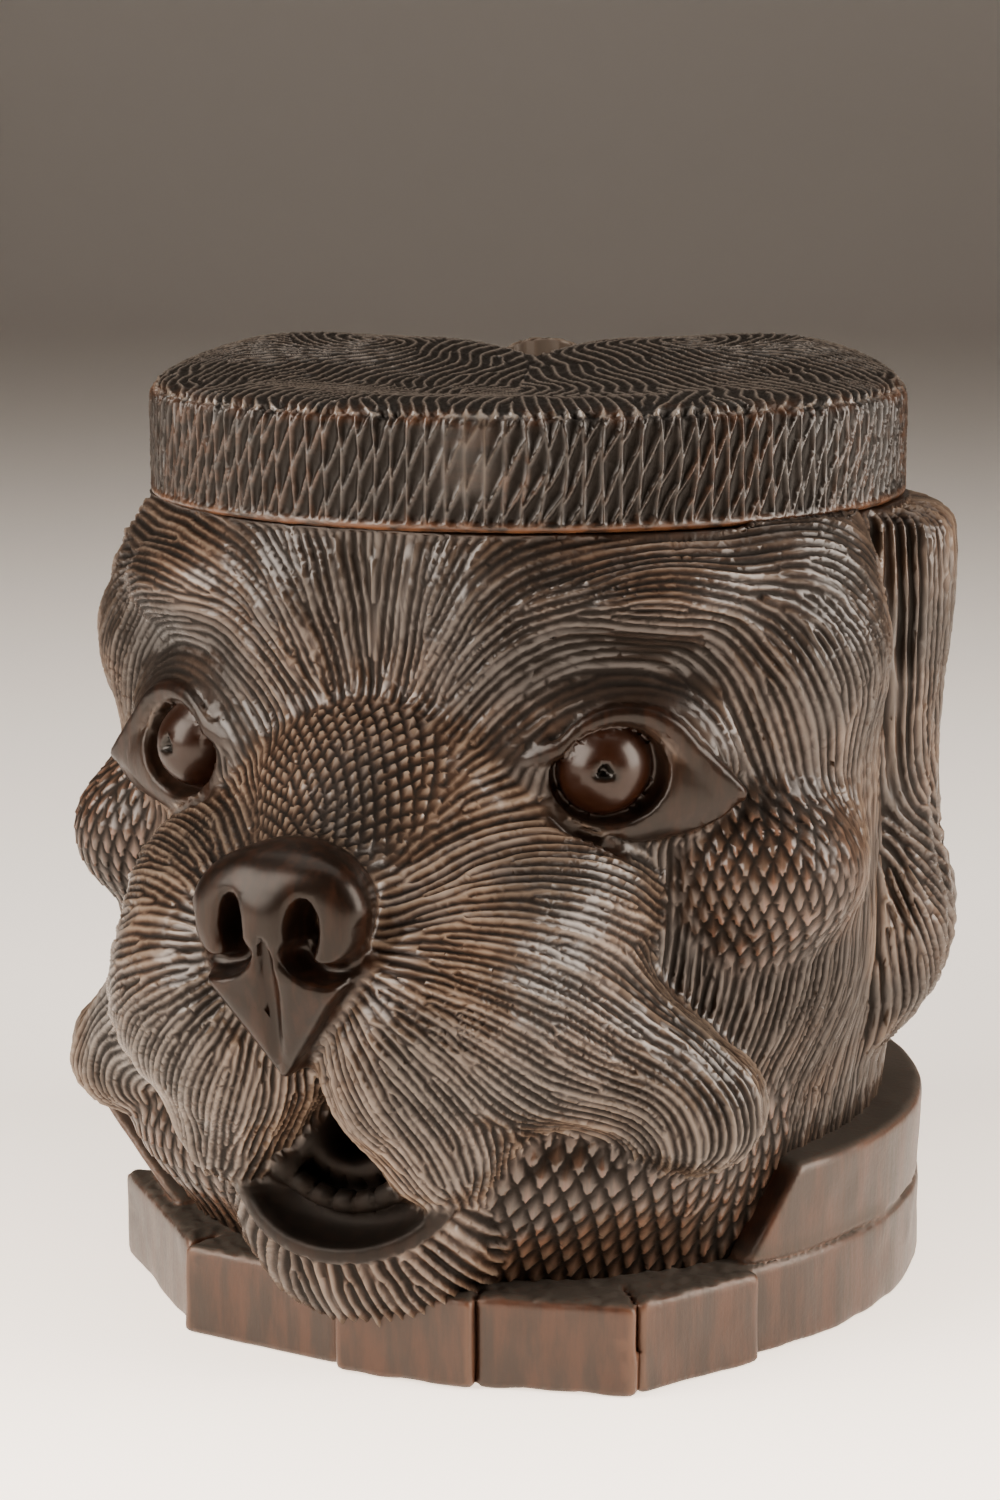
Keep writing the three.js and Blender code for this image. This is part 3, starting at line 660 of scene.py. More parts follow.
def carved_mesh(name, skin, quads, points, marks, wanted):
    """A mesh of the carved points, with fewer faces where the wood is plain, in metres."""
    faces = np.concatenate([quads[:, [0, 1, 2]], quads[:, [0, 2, 3]]]).astype(np.int32)
    rough = bpy.data.meshes.new(name + "_rough")
    rough.vertices.add(len(points))
    rough.vertices.foreach_set("co", points.astype(np.float32).ravel())
    rough.loops.add(len(faces) * 3)
    rough.loops.foreach_set("vertex_index", faces.ravel())
    rough.polygons.add(len(faces))
    rough.polygons.foreach_set("loop_start", np.arange(0, len(faces) * 3, 3, dtype=np.int32))
    rough.update(calc_edges=True)
    holder = bpy.data.objects.new(name + "_rough", rough)
    bpy.context.scene.collection.objects.link(holder)
    fewer = holder.modifiers.new("fewer", "DECIMATE")
    fewer.ratio = min(1.0, wanted / len(faces))
    graph = bpy.context.evaluated_depsgraph_get()
    mesh = bpy.data.meshes.new_from_object(holder.evaluated_get(graph))
    bpy.data.objects.remove(holder)
    bpy.data.meshes.remove(rough)
    mesh.name = name
    kept = np.zeros(len(mesh.vertices) * 3, np.float32)
    mesh.vertices.foreach_get("co", kept)
    kept = kept.reshape(-1, 3)
    tree = kdtree.KDTree(len(points))
    for n, point in enumerate(points.tolist()):
        tree.insert(point, n)
    tree.balance()
    nearest = np.array([tree.find(point)[1] for point in kept.tolist()])
    for mark, values in marks.items():
        layer = mesh.attributes.new(mark, "FLOAT", "POINT")
        layer.data.foreach_set("value", values[nearest].astype(np.float32))
    mesh.vertices.foreach_set("co", (kept * TO_METRES).ravel())
    mesh.shade_smooth()
    mesh.update()
    return mesh


def noise(points, size, seed):
    """Smooth random values from -1 to 1 that change over the given size."""
    lattice = np.random.default_rng(seed).uniform(-1, 1, (32, 32, 32)).astype(np.float32)
    place = points / size + 512
    base = np.floor(place).astype(int)
    t = place - base
    t = t * t * (3 - 2 * t)
    total = 0
    for corner in np.indices((2, 2, 2)).reshape(3, -1).T:
        weight = np.where(corner == 1, t, 1 - t).prod(1)
        total = total + weight * lattice[tuple(((base + corner) % 32).T)]
    return total


def spotty(points, size, seed):
    """Noise with finer noise on it."""
    return noise(points, size, seed) * 0.65 + noise(points, size * 0.45, seed + 1) * 0.35


def cavity_cutter():
    """The turned hollow and the floor under the jar, as one closed tool in millimetres."""
    rings = ((CAVITY_RADIUS - 4, CAVITY_FLOOR), (CAVITY_RADIUS, CAVITY_FLOOR + 4), (CAVITY_RADIUS, 260))
    count = 160
    turn = np.linspace(0, 2 * math.pi, count, endpoint=False)
    points = [(r * math.cos(t), r * math.sin(t), z) for r, z in rings for t in turn]
    faces = []
    for ring in range(len(rings) - 1):
        for n in range(count):
            a, b = ring * count + n, ring * count + (n + 1) % count
            faces.append((a, b, b + count, a + count))
    faces.append(tuple(reversed(range(count))))
    faces.append(tuple(range((len(rings) - 1) * count, len(rings) * count)))
    mesh = bpy.data.meshes.new("hollow")
    mesh.from_pydata(points, [], faces)
    tool = bpy.data.objects.new("hollow", mesh)
    bpy.context.scene.collection.objects.link(tool)
    return tool


def teeth_notches(points):
    """Depth of the notches that part the row of teeth on the lower lip's inner ridge."""
    u, w = rolled(points[:, 0], points[:, 2])
    centre, ring_radius = GUM_CENTRE, GUM_RADIUS
    turn = np.degrees(np.arctan2(w - centre[2], u - centre[0]))
    near = smooth_step(4.2, 2.6, np.abs(span(u - centre[0], w - centre[2]) - ring_radius + 1.5))
    near = near * smooth_step(7, 4, np.abs(points[:, 1] - centre[1])) * (np.abs(turn + 90) < 66)
    place = np.abs((turn / TOOTH_ANGLE) % 1 - 0.5)
    return 1.2 * near * smooth_step(0.13, 0.02, place)


def build_head(settings):
    cell = 1.15
    skin = Skin(head, (-126, -158, 8), (126, 122, 246), cell)
    zones = head_zones(skin)
    flow = head_flow(skin, zones)
    across = np.cross(skin.normals, flow)
    wide = 1 + 0.25 * noise(skin.points, 22, 3)
    zones["back"] = smooth_step(5, 50, skin.points[:, 1])
    pitch = settings.hair_pitch * wide * (1 + 0.3 * zones["ear"] + 0.6 * zones["lip"] + 0.7 * zones["back"])
    hair = skin.phases(across, pitch)
    lock = skin.phases(across, pitch * 3.7, rounds=(120, 60))
    scale_width = 1.9 + 0.3 * zones["bump"] + 0.9 * zones["jaw"]
    scale_length = 2.6 + 2.4 * zones["bump"] + 2.2 * zones["jaw"]
    chip_across = skin.phases(across, 2 * scale_width)
    chip_along = skin.phases(flow, 2 * scale_length, rounds=(200, 60))
    quads = skin.refine()
    points = skin.spread(skin.points)
    normals = unit(skin.spread(skin.normals))
    fine = {name: skin.spread(values.astype(np.float32)) for name, values in zones.items()}
    hair_phase = skin.spread_phase(points, *hair)
    broad = np.clip(0.05 + 0.25 * fine["muzzle"] + 0.4 * fine["back"] + 0.5 * spotty(points, 24, 15), 0, 0.7)
    hair_ridge = ridges(hair_phase) * (1 - broad) + broad_ridges(hair_phase) * broad
    lock_ridge = ridges(skin.spread_phase(points, *lock))
    chip = chips(skin.spread_phase(points, *chip_across), skin.spread_phase(points, *chip_along))
    plain = np.maximum.reduce([fine["eye"], fine["nose"], fine["bowl"], fine["seat"], 0.9 * fine["lids"], fine["rim"]])
    under_lid = smooth_step(SEAT_HEIGHT - 1, SEAT_HEIGHT, fine["z"]) * (span(points[:, 0], points[:, 1]) < 99.2)
    plain = np.clip(np.maximum(plain, under_lid), 0, 1)
    scaly = np.clip(fine["bump"] + fine["bridge"] + fine["jaw"], 0, 1) * (1 - plain)
    hairy = (1 - plain) * (1 - scaly)
    worn = np.clip(0.5 + 0.9 * spotty(points, 26, 11), 0, 1)
    depth = settings.hair_depth * (1 + 0.45 * fine["ear"] + 0.7 * fine["lip"]) * (0.8 + 0.3 * worn)
    fading = np.clip(0.85 + 0.5 * noise(points, 9, 6), 0.35, 1.15)
    hairy_depth = hairy * (1 - 0.45 * fine["back"]) * (1 - 0.45 * fine["hollow"])
    height = -hairy_depth * depth * fading * (1 - hair_ridge)
    height -= hairy_depth * 0.8 * (1 - lock_ridge)
    height -= scaly * (0.65 + 0.25 * fine["bump"] + 0.4 * fine["jaw"]) * (1 - chip)
    height += 0.1 * noise(points, 3.1, 5) * (1 - plain)
    height -= teeth_notches(points)
    relief = hairy * (0.75 * hair_ridge + 0.25 * lock_ridge) + scaly * chip + plain * 0.62
    reddish = np.clip(fine["bump"] + 0.7 * fine["jaw"], 0, 1)
    marks = {"relief": relief, "smooth": plain, "reddish": reddish}
    for name in ("eye", "pupil", "muzzle", "tuft", "hollow"):
        marks[name] = fine[name]
    marks["bowl"] = np.maximum(fine["bowl"], 0.6 * fine["rim"])
    wanted = 188000
    mesh = carved_mesh("carved_head", skin, quads, points + normals * height[:, None], marks, wanted)
    return mesh


# Materials: shader maths written as expressions
class Socket:
    """A value in a material, with arithmetic that adds nodes."""

    def __init__(self, sheet, link):
        self.sheet, self.link = sheet, link

    def _math(self, operation, *values):
        return self.sheet.node("ShaderNodeMath", {"operation": operation}, *values)[0]

    def __add__(self, other):
        return self._math("ADD", self, other)

    def __sub__(self, other):
        return self._math("SUBTRACT", self, other)

    def __rsub__(self, other):
        return self._math("SUBTRACT", other, self)

    def __mul__(self, other):
        return self._math("MULTIPLY", self, other)

    def __truediv__(self, other):
        return self._math("DIVIDE", self, other)

    def __pow__(self, other):
        return self._math("POWER", self, other)

    __radd__ = __add__
    __rmul__ = __mul__

    def between(self, low, high):
        """0 below low, 1 above high, smooth between them."""
        settings = {"interpolation_type": "SMOOTHSTEP"}
        return self.sheet.node("ShaderNodeMapRange", settings, Value=self, **{"From Min": low, "From Max": high})[0]


class Sheet:
    """One material's nodes."""

    def __init__(self, name):
        self.material = bpy.data.materials.new(name)
        self.material.use_nodes = True
        self.tree = self.material.node_tree
        self.shader = self.tree.nodes["Principled BSDF"]

    def node(self, kind, settings=None, *values, **named):
        made = self.tree.nodes.new(kind)
        for key, value in (settings or {}).items():
            setattr(made, key, value)
        for place, value in list(enumerate(values)) + list(named.items()):
            self.feed(made.inputs[place], value)
        return [Socket(self, output) for output in made.outputs]

    def feed(self, socket, value):
        if isinstance(value, Socket):
            self.tree.links.new(value.link, socket)
        else:
            socket.default_value = value

    def set(self, **values):
        for name, value in values.items():
            self.feed(self.shader.inputs[name.replace("_", " ")], value)

    def mark(self, name):
        return self.node("ShaderNodeAttribute", {"attribute_name": name})[2]

    def place(self, stretch=(1, 1, 1)):
        spot = self.node("ShaderNodeTexCoord")[3]
        return self.node("ShaderNodeMapping", None, Vector=spot, Scale=stretch)[0]

    def noise(self, size, detail=4, roughness=0.55, stretch=(1, 1, 1)):
        """Noise from 0 to 1 with features of the given size in millimetres."""
        values = {"Scale": 1000 / size, "Detail": detail, "Roughness": roughness}
        return self.node("ShaderNodeTexNoise", None, Vector=self.place(stretch), **values)[0]

    def mix(self, amount, first, second):
        made = self.tree.nodes.new("ShaderNodeMix")
        made.data_type = "RGBA"
        for place, value in ((0, amount), (6, first), (7, second)):
            self.feed(made.inputs[place], value if isinstance(value, (Socket, float, int)) else (*value, 1))
        return Socket(self, made.outputs[2])

    def bump(self, height, distance, strength=1.0):
        return self.node("ShaderNodeBump", None, Height=height, Distance=distance, Strength=strength)[0]


def hair_wood(settings):
    """Dark waxed wood with painted shade, black in the cuts; lighter on the ridges from dust and a painted highlight;
    red-brown where it is worn.
    """
    sheet = Sheet("carved_wood")
    relief = sheet.mark("relief")
    smooth = sheet.mark("smooth")
    reddish = sheet.mark("reddish")
    patches = sheet.noise(38, 3)
    fine = sheet.noise(1.1, 3, 0.7)
    grain = sheet.noise(9, 5, 0.6, (3, 3, 0.35))
    brown = sheet.mix(patches.between(0.35, 0.68), settings.dark_wood, settings.warm_wood)
    dust = sheet.mark("muzzle") * 0.35 + patches.between(0.42, 0.64) * 0.6
    dusty = dust * (1 - smooth) * (1 - 0.7 * reddish)
    hollow = sheet.mark("hollow")
    # Painted shade: the cuts are painted near black, fading to the wood's colour towards the crests.
    lit = relief.between(0.02, 0.6)
    color = sheet.mix(lit, settings.cut_shade, brown)
    # Crests painted lighter, partly dust and partly a painted highlight, dimmer in the painted-dark hollow by the eye.
    crest = relief.between(0.3, 0.9) * (0.12 + 0.62 * dusty) * (1 - 0.75 * hollow)
    color = sheet.mix(crest, color, settings.dust_and_highlight_wood)
    # Painted shade in the hollow above the eye and beside the nose.
    color = sheet.mix(hollow * 0.6, color, settings.cut_shade)
    worn = (reddish * relief.between(0.3, 0.95) * grain.between(0.4, 0.62)) * 0.8
    color = sheet.mix(worn, color, settings.worn_wood)
    polished = sheet.mix(grain.between(0.42, 0.66), (0.0025, 0.0013, 0.0009), (0.01, 0.0038, 0.002))
    color = sheet.mix(smooth * 0.95, color, polished)
    color = sheet.mix(sheet.mark("eye"), color, (0.011, 0.0036, 0.0016))
    # Painted shade inside the mouth.
    color = sheet.mix(sheet.mark("bowl") * 0.8, color, settings.cut_shade)
    # Painted shade in the pupil's cut.
    color = sheet.mix(sheet.mark("pupil"), color, (0.002, 0.0015, 0.001))
    color = sheet.mix(sheet.mark("tuft") * relief.between(0.2, 0.9), color, (0.06, 0.047, 0.037))
    polish = smooth * (1 - sheet.mark("bowl"))
    rough = 0.5 + 0.2 * fine - 0.28 * polish
    height = fine * 0.6 + grain * 0.4
    sheet.set(Base_Color=color, Roughness=rough, Normal=sheet.bump(height * (1 - smooth * 0.8), 0.0002))
    sheet.set(Coat_Roughness=0.22, Specular_IOR_Level=0.12, Specular_Tint=(1, 0.9, 0.82, 1))
    waxed = relief.between(0.1, 0.7) * (1 - smooth) * 0.7 + 0.1 * polish + 0.14 * sheet.mark("eye")
    sheet.set(Coat_Weight=waxed)
    return sheet.material


def lid_wood(settings):
    sheet = Sheet("lid_wood")
    relief = sheet.mark("relief")
    worn = sheet.mark("worn")
    fine = sheet.noise(1.0, 3, 0.7)
    grain = sheet.noise(8, 5, 0.6, (1, 1, 3))
    body = sheet.mix(grain.between(0.4, 0.66), (0.0045, 0.003, 0.0022), (0.014, 0.0082, 0.0055))
    # Painted shade: the lid's cuts are painted near black.
    color = sheet.mix(relief.between(0.2, 0.9), settings.cut_shade, body)
    top = sheet.mark("top")
    # Painted highlight: the crests are painted lighter, most on the upward-facing top.
    crest = relief.between(0.8 - 0.25 * top, 1.0) * (0.3 + 0.5 * top)
    color = sheet.mix(crest, color, (0.1, 0.082, 0.066))
    color = sheet.mix(worn * grain.between(0.3, 0.6) * 0.6, color, (0.1, 0.038, 0.014))
    rough = 0.36 + 0.22 * fine
    sheet.set(Base_Color=color, Roughness=rough, Normal=sheet.bump(fine, 0.0001))
    sheet.set(Coat_Roughness=0.28, Specular_IOR_Level=0.12, Specular_Tint=(1, 0.92, 0.86, 1))
    sheet.set(Coat_Weight=relief.between(0.3, 0.95) * (0.6 + 0.35 * top))
    return sheet.material


def collar_wood(settings):
    sheet = Sheet("collar_wood")
    dust = sheet.mark("dust")
    edge = sheet.mark("edge")
    fine = sheet.noise(1.4, 4, 0.7)
    grain = sheet.noise(6, 5, 0.62, (1, 1, 0.2))
    streak = sheet.noise(1.6, 3, 0.6, (1, 1, 0.1))
    color = sheet.mix(grain.between(0.36, 0.66), (0.009, 0.0036, 0.0021), (0.033, 0.0108, 0.0048))
    color = sheet.mix(streak.between(0.56, 0.72) * 0.4, color, (0.01, 0.0055, 0.004))
    color = sheet.mix(edge * 0.5, color, (0.1, 0.045, 0.024))
    color = sheet.mix(dust * fine.between(0.25, 0.55), color, (0.02, 0.016, 0.012))
    rough = 0.32 + 0.16 * fine + 0.4 * dust
    sheet.set(Base_Color=color, Roughness=rough, Normal=sheet.bump(fine * 0.5 + streak * 0.5, 0.00015))
    sheet.set(Coat_Roughness=0.3, Specular_IOR_Level=0.42, Coat_Weight=0.05, Specular_Tint=(1, 0.9, 0.82, 1))
    return sheet.material


# Lid
def lid_top(x, y):
    c, s = math.cos(math.radians(TUFT_ANGLE)), math.sin(math.radians(TUFT_ANGLE))
    across, back = x * c + y * s, x * s - y * c
    lobes = LOBE_RISE * plateau(np.abs(across), 44, 48) * bell(back, 34, 42)
    valley = 3.5 * bell(across, 0, 14) * smooth_step(10, 90, back)
    return LID_TOP + lobes - valley + 1.5 * bell(span(x, y), 80, 16)


def lid_form(x, y, z):
    radius = span(x, y)
    disc = meet(radius - LID_RADIUS, z - lid_top(x, y), 6)
    disc = meet(disc, SEAT_HEIGHT + LID_GAP - z, 2)
    spigot = np.maximum(radius - SPIGOT_RADIUS, SEAT_HEIGHT - SPIGOT_DEPTH - z)
    return np.minimum(disc, np.maximum(spigot, z - SEAT_HEIGHT - 3))


def build_lid(settings):
    cell = 0.8
    skin = Skin(lid_form, (-101, -101, 196), (101, 101, 250), cell)
    x, y, z = skin.points.T
    c, s = math.cos(math.radians(TUFT_ANGLE)), math.sin(math.radians(TUFT_ANGLE))
    across, back = x * c + y * s, x * s - y * c
    side = np.where(across < 0, -1.0, 1.0)
    whorl_x, whorl_back = across - side * 44, back - 30
    swirl = np.stack([-side * whorl_back, side * whorl_x], 1) + 0.35 * np.stack([whorl_x, whorl_back], 1)
    sweep = np.stack([0.25 * side * np.ones_like(x), -np.ones_like(x)], 1)
    near = np.exp(-(whorl_x ** 2 + whorl_back ** 2) / 42 ** 2)[:, None]
    stroke = unit(swirl) * near + sweep * (1 - near)
    sway = 0.7 * noise(skin.points, 13, 8)
    stroke = np.stack([
        stroke[:, 0] * np.cos(sway) - stroke[:, 1] * np.sin(sway),
        stroke[:, 0] * np.sin(sway) + stroke[:, 1] * np.cos(sway),
    ], 1)
    flow = np.stack([stroke[:, 0] * c + stroke[:, 1] * s, stroke[:, 0] * s - stroke[:, 1] * c, 0 * x], 1)
    flow = skin.combed(flow)
    hair_across = np.cross(skin.normals, flow)
    hair = skin.phases(hair_across, 3.2 * (1 + 0.25 * noise(skin.points, 15, 4)))
    strands = skin.phases(flow, 9.0, rounds=(200, 60))
    quads = skin.refine()
    points = skin.spread(skin.points)
    normals = unit(skin.spread(skin.normals))
    x, y, z = points.T
    radius = span(x, y)
    turn = np.arctan2(x, -y)
    facing_up = smooth_step(0.35, 0.75, normals[:, 2])
    facing_out = smooth_step(0.45, 0.8, normals[:, 0] * x / radius + normals[:, 1] * y / radius)
    rim = facing_out * (radius > 95)
    below = (normals[:, 2] < -0.3) | (radius < 90) & (z < 215)
    ridge = ridges(skin.spread_phase(points, *hair))
    stroke_row = 0.35 + 0.65 * broad_ridges(skin.spread_phase(points, *strands))
    rows = 3
    height_share = np.clip((z - SEAT_HEIGHT - 1.5) / (LID_TOP - SEAT_HEIGHT - 1), 0, 1)
    lean = 0.3 * noise(points, 14, 21)
    columns = round(2 * math.pi * LID_RADIUS / settings.chip_pitch)
    column = turn / (2 * math.pi) * columns + lean
    strip = np.floor(column).astype(int)
    start = 0.5 * (strip % 2) + np.random.default_rng(22).uniform(-0.2, 0.2, 256)[strip % 256]
    run = (height_share * rows + start + 0.15 * noise(points, 9, 22)) % 1
    crest = lozenges(column, run, settings.chip_pitch, CHIP_LENGTH)
    patch = bell(turn, 0.28, 0.09) * smooth_step(0.1, 0.4, height_share)
    gouge = (1 - crest) * (1 - 0.65 * patch) * smooth_step(0.0, 0.06, height_share)
    height = -rim * 1.2 * gouge
    # The upward-facing top, whose crests the material paints lighter as a painted highlight.
    top = facing_up * (z > 225)
    height -= top * (1.3 * (1 - ridge) * stroke_row)
    height += 0.1 * noise(points, 4, 9)
    relief = np.where(below, 0.6, rim * (1 - 0.9 * gouge) + top * ridge + (1 - np.maximum(rim, top)) * 0.7)
    lower_edge = smooth_step(3.4, 0.6, z - SEAT_HEIGHT) * (radius > 94)
    upper_edge = 0.35 * bell(z, LID_TOP - 1.5, 2.0) * (radius > 92)
    tips = rim * smooth_step(0.3, 0.9, crest) * 0.3 * (noise(points, 20, 31) > 0.1)
    worn = np.clip(lower_edge + upper_edge * (noise(points, 6, 32) > 0) + tips, 0, 1)
    wanted = 188000
    marks = {"relief": np.clip(relief, 0, 1), "worn": worn, "top": top}
    return carved_mesh("carved_lid", skin, quads, points + normals * height[:, None], marks, wanted)


# Collar
def collar_form(x, y, z):
    radius = span(x, y - COLLAR_BACK_SHIFT)
    angle = np.degrees(np.arctan2(np.abs(x), -y))
    lower = meet(meet(radius - COLLAR_RADIUS, z - BAND_HEIGHT, 2.5), -z, 1.5)
    share = (z - BAND_HEIGHT) / BAND_HEIGHT
    start, slant = (np.where(x > 0, left, right) for left, right in zip(LEFT_BAND_END, RIGHT_BAND_END))
    start = start + share * slant
    cut = (start - angle) * math.radians(1) * COLLAR_RADIUS * 0.93
    lean_x, lean_y = FLARE * math.sin(math.radians(FLARE_ANGLE)), -FLARE * math.cos(math.radians(FLARE_ANGLE))
    flared = span(x - lean_x * share, y - COLLAR_BACK_SHIFT - lean_y * share)
    upper = meet(np.minimum(radius, flared) - COLLAR_RADIUS + 0.5 - share, z - 2 * BAND_HEIGHT, 3)
    upper = meet(meet(upper, cut, 2), BAND_HEIGHT - 0.4 - z, 1.2)
    form = np.minimum(lower, upper)
    for start_angle, start_radius, end_angle, end_radius in PLEATS:
        a, b = math.radians(start_angle), math.radians(end_angle)
        px, py = start_radius * math.sin(a), -start_radius * math.cos(a)
        qx, qy = end_radius * math.sin(b), -end_radius * math.cos(b)
        long = math.hypot(qx - px, qy - py)
        nx, ny = (qy - py) / long, -(qx - px) / long
        face = (x - px) * nx + (y - py) * ny
        first = -x * math.cos(a) - y * math.sin(a)
        last = x * math.cos(b) + y * math.sin(b)
        wedge = meet(meet(face, np.maximum(first, last), 2), z - BAND_HEIGHT, 2.5)
        wedge = np.maximum(meet(wedge, -z, 1.5), 60 - span(x, y))
        form = np.minimum(form, wedge)
    return form


def build_collar(settings):
    cell = 1.1

    def form(x, y, z):
        points = np.stack([x, y, z], 1)
        return collar_form(x, y, z) + 0.25 * noise(points, 7, 41) + 0.3

    skin = Skin(form, (-118, -120, -4), (118, 120, 56), cell)
    quads = skin.refine()
    points = skin.spread(skin.points)
    normals = unit(skin.spread(skin.normals))
    x, y, z = points.T
    up = smooth_step(0.5, 0.9, normals[:, 2])
    dust = up * (z > 20) + smooth_step(4, 0, np.abs(z - BAND_HEIGHT - 2)) * 0.5 * (span(x, y) < 104)
    rough_ledge = up * (np.abs(z - BAND_HEIGHT) < 3) * (y < -40)
    height = 0.45 * rough_ledge * noise(points, 2.4, 44)
    inner = form(*(points - normals * 1.6).T)
    edge = smooth_step(-1.35, -0.8, inner) * (normals[:, 2] > -0.4)
    marks = {"dust": np.clip(dust, 0, 1), "edge": np.clip(edge, 0, 1)}
    wanted = 90000
    return carved_mesh("carved_collar", skin, quads, points + normals * height[:, None], marks, wanted)


def placed(name, mesh, material):
    mesh.materials.clear()
    mesh.materials.append(material)
    piece = bpy.data.objects.new(name, mesh)
    bpy.context.scene.collection.objects.link(piece)
    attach(piece, "root")
    return piece


def hollowed(piece):
    """Cuts the turned hollow out of a piece, as the lathe does."""
    tool = cavity_cutter()
    tool.data.transform(((TO_METRES, 0, 0, 0), (0, TO_METRES, 0, 0), (0, 0, TO_METRES, 0), (0, 0, 0, 1)))
    cut = piece.modifiers.new("hollow", "BOOLEAN")
    cut.operation, cut.solver, cut.object = "DIFFERENCE", "MANIFOLD", tool
    graph = bpy.context.evaluated_depsgraph_get()
    mesh = bpy.data.meshes.new_from_object(piece.evaluated_get(graph))
    piece.modifiers.clear()
    piece.data = mesh
    bpy.data.objects.remove(tool)


# Settings that a user would change
class DogJarSettings(bpy.types.PropertyGroup):
    hair_pitch: FloatProperty(name="Hair pitch", description="Distance between two cuts of hair, in millimetres", default=2.25, min=1.2, max=5)
    hair_depth: FloatProperty(name="Hair depth", description="Depth of the cuts of hair, in millimetres", default=1.25, min=0, max=2)
    chip_pitch: FloatProperty(name="Chip pitch", description="Distance between two chips on the lid's rim, in millimetres", default=4.5, min=2, max=8)
    # Painted shade: the near-black colour painted into the cuts, the hollow by the eye and the mouth
    cut_shade: FloatVectorProperty(name="Wood in the cuts", description="Colour at the bottom of a cut", subtype="COLOR", size=3, default=(0.002, 0.0014, 0.001))
    dark_wood: FloatVectorProperty(name="Dark wood", description="Colour of the stained wood", subtype="COLOR", size=3, default=(0.011, 0.0068, 0.0048))
    warm_wood: FloatVectorProperty(name="Warm wood", description="Colour of the browner stained wood", subtype="COLOR", size=3, default=(0.036, 0.0175, 0.0095))
    # Colour of the ridges: partly dust, partly a painted highlight
    dust_and_highlight_wood: FloatVectorProperty(name="Dusty wood", description="Colour of the ridges that hold dust", subtype="COLOR", size=3, default=(0.2, 0.152, 0.112))
    worn_wood: FloatVectorProperty(name="Worn wood", description="Colour where hands have worn the stain off", subtype="COLOR", size=3, default=(0.12, 0.055, 0.033))


class DOGJAR_OT_head(bpy.types.Operator):
    """Carve the dog's head and turn it hollow"""

    bl_idname = "dogjar.head"
    bl_label = "Carved head"

    def execute(self, context):
        settings = context.scene.dog_jar
        piece = placed("carved_head", build_head(settings), hair_wood(settings))
        hollowed(piece)
        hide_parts("jar")
        return {"FINISHED"}


class DOGJAR_OT_collar(bpy.types.Operator):
    """Build the collar with its upper band and pleats"""

    bl_idname = "dogjar.collar"
    bl_label = "Collar"

    def execute(self, context):
        settings = context.scene.dog_jar
        piece = placed("carved_collar", build_collar(settings), collar_wood(settings))
        hollowed(piece)
        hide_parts("jar")
        return {"FINISHED"}


class DOGJAR_OT_lid(bpy.types.Operator):
    """Build the lid with its chip-carved rim and hair"""

    bl_idname = "dogjar.lid"
    bl_label = "Lid"

    def execute(self, context):
        settings = context.scene.dog_jar
        piece = placed("carved_lid", build_lid(settings), lid_wood(settings))
        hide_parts("lid")
        return {"FINISHED"}


def area_light(name, place, aim, size, power, color):
    data = bpy.data.lights.new(name, "AREA")
    data.shape, data.size, data.size_y = "RECTANGLE", size[0], size[1]
    data.energy, data.color = power, color
    light = bpy.data.objects.new(name, data)
    light.location = place
    bpy.context.scene.collection.objects.link(light)
    direction = [b - a for a, b in zip(place, aim)]
    flat = math.hypot(direction[0], direction[1])
    light.rotation_euler = (math.atan2(flat, -direction[2]), 0, math.atan2(direction[1], direction[0]) - math.pi / 2)


def backdrop(spot):
    """A pale sheet that lies under the jar and sweeps up far behind it."""
    half_width, front, bend_start, bend_radius = 9.0, 6.0, -4.0, 3.0
    profile = [(front, 0.0), (bend_start, 0.0)]
    for n in range(1, 25):
        turn = math.radians(90) * n / 24
        profile.append((bend_start - bend_radius * math.sin(turn), bend_radius * (1 - math.cos(turn))))
    profile.append((bend_start - bend_radius, 9.0))
    points = [spot(across, near, high) for near, high in profile for across in (-half_width, half_width)]
    faces = [(2 * n, 2 * n + 1, 2 * n + 3, 2 * n + 2) for n in range(len(profile) - 1)]
    mesh = bpy.data.meshes.new("floor")
    mesh.from_pydata(points, [], faces)
    mesh.shade_smooth()
    return bpy.data.objects.new("floor", mesh)


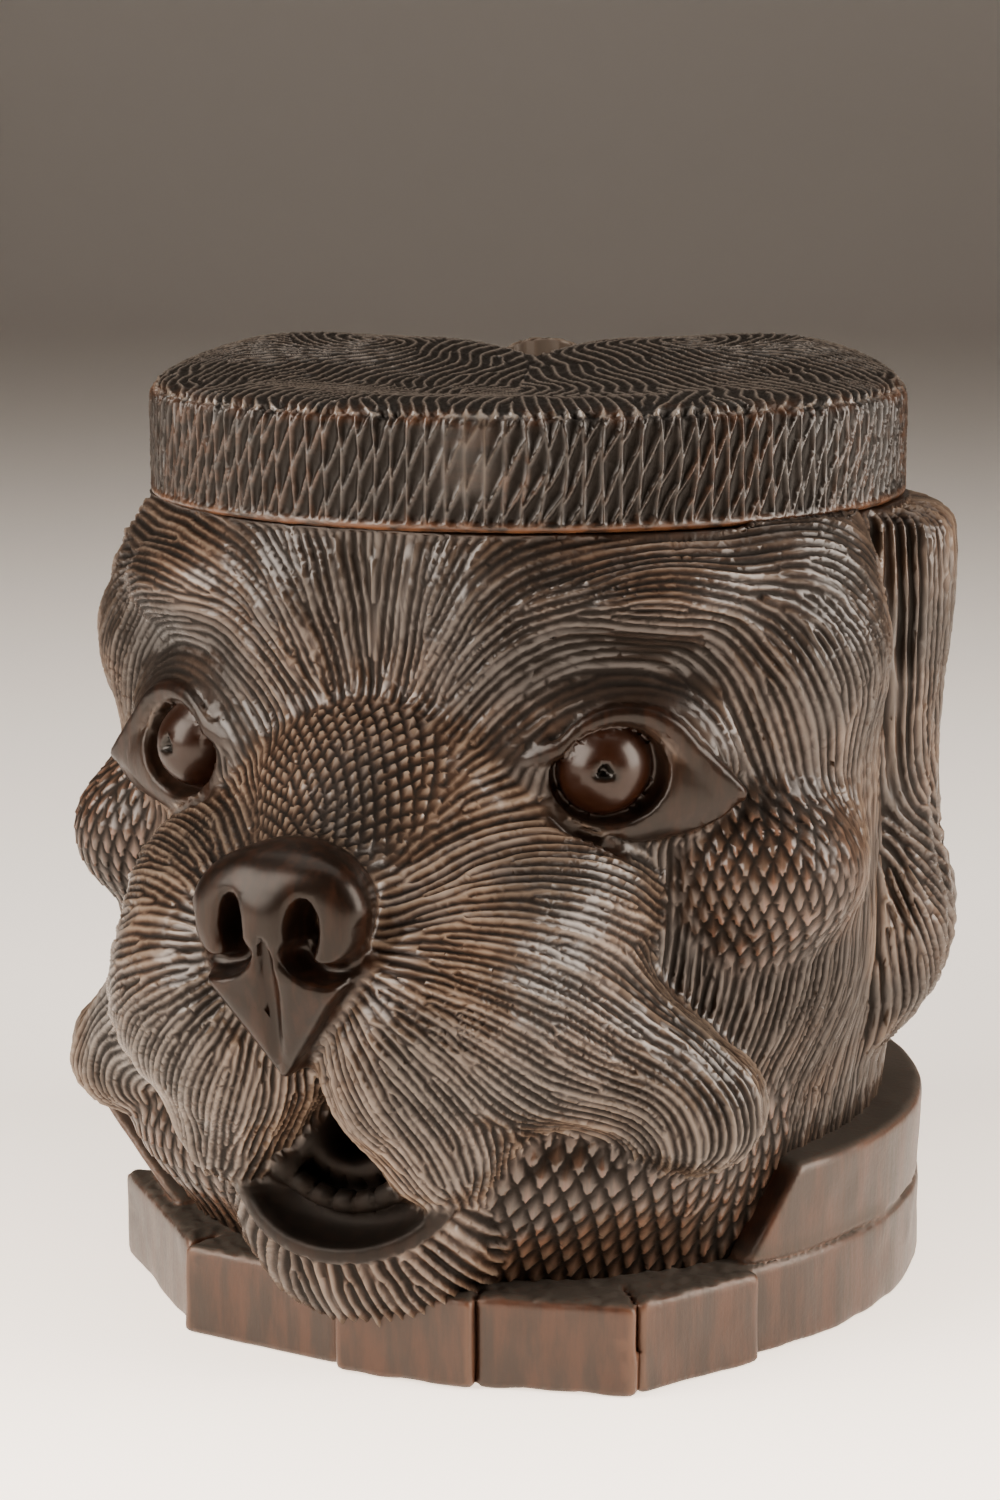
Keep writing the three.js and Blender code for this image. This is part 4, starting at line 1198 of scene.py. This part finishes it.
class DOGJAR_OT_stage(bpy.types.Operator):
    """Lay the pale floor and set the soft lights and the camera"""

    bl_idname = "dogjar.stage"
    bl_label = "Stage"

    def execute(self, context):
        scene = context.scene
        azimuth, pitch_down = math.radians(24), math.radians(11.4)
        camera_data = bpy.data.cameras.new("camera")
        camera_data.lens = 3057 / 1500 * 36
        camera_data.shift_x = -28.3 / 1500
        camera = bpy.data.objects.new("camera", camera_data)
        camera.location = (0.8 * math.sin(azimuth), -0.8 * math.cos(azimuth), 0.298)
        camera.rotation_euler = (math.pi / 2 - pitch_down, 0, azimuth)
        scene.collection.objects.link(camera)
        scene.camera = camera
        toward = (math.sin(azimuth), -math.cos(azimuth))
        right = (math.cos(azimuth), math.sin(azimuth))

        def spot(across, near, high):
            return (right[0] * across + toward[0] * near, right[1] * across + toward[1] * near, high)

        floor = backdrop(spot)
        scene.collection.objects.link(floor)
        sheet = Sheet("floor")
        sheet.set(Base_Color=(0.92, 0.89, 0.86, 1), Roughness=0.8)
        # Painted light: the floor glows, brightest towards the front, standing in for the lamps' fall-off.
        ahead = sheet.node("ShaderNodeVectorMath", {"operation": "DOT_PRODUCT"}, sheet.place(), (*toward, 0))[1]
        glow = sheet.mix(ahead.between(-0.75, 0.3) ** 4, (0, 0, 0), (3.1, 2.52, 2.02))
        sheet.set(Emission_Color=glow, Emission_Strength=1.0)
        floor.data.materials.append(sheet.material)
        world = bpy.data.worlds.new("studio")
        world.use_nodes = True
        world.node_tree.nodes["Background"].inputs[0].default_value = (0.34, 0.3, 0.265, 1)
        world.node_tree.nodes["Background"].inputs[1].default_value = 0.12
        scene.world = world
        aim = (0, 0, 0.12)
        area_light("left_softbox", spot(-1.1, 0.55, 0.75), aim, (0.9, 1.1), 50, (1, 0.9, 0.8))
        area_light("right_softbox", spot(1.15, 0.35, 0.6), aim, (0.7, 1.1), 42, (1, 0.9, 0.8))
        area_light("top_softbox", spot(0.0, -0.1, 1.3), aim, (1.2, 0.9), 10, (1, 0.9, 0.8))
        return {"FINISHED"}


OPERATORS = (DOGJAR_OT_head, DOGJAR_OT_collar, DOGJAR_OT_lid, DOGJAR_OT_stage)


class DOGJAR_PT_panel(bpy.types.Panel):
    bl_idname = "DOGJAR_PT_panel"
    bl_label = "Carved dog head jar"
    bl_space_type = "VIEW_3D"
    bl_region_type = "UI"
    bl_category = "Dog jar"

    def draw(self, context):
        for name in DogJarSettings.__annotations__:
            self.layout.prop(context.scene.dog_jar, name)
        for operator in OPERATORS:
            self.layout.operator(operator.bl_idname)


CLASSES = (DogJarSettings, *OPERATORS, DOGJAR_PT_panel)


def register():
    for item in CLASSES:
        bpy.utils.register_class(item)
    bpy.types.Scene.dog_jar = PointerProperty(type=DogJarSettings)


def unregister():
    del bpy.types.Scene.dog_jar
    for item in reversed(CLASSES):
        bpy.utils.unregister_class(item)


def main():
    register()
    bpy.ops.dogjar.stage()
    bpy.ops.dogjar.head()
    bpy.ops.dogjar.collar()
    bpy.ops.dogjar.lid()


if __name__ == "__main__":
    main()
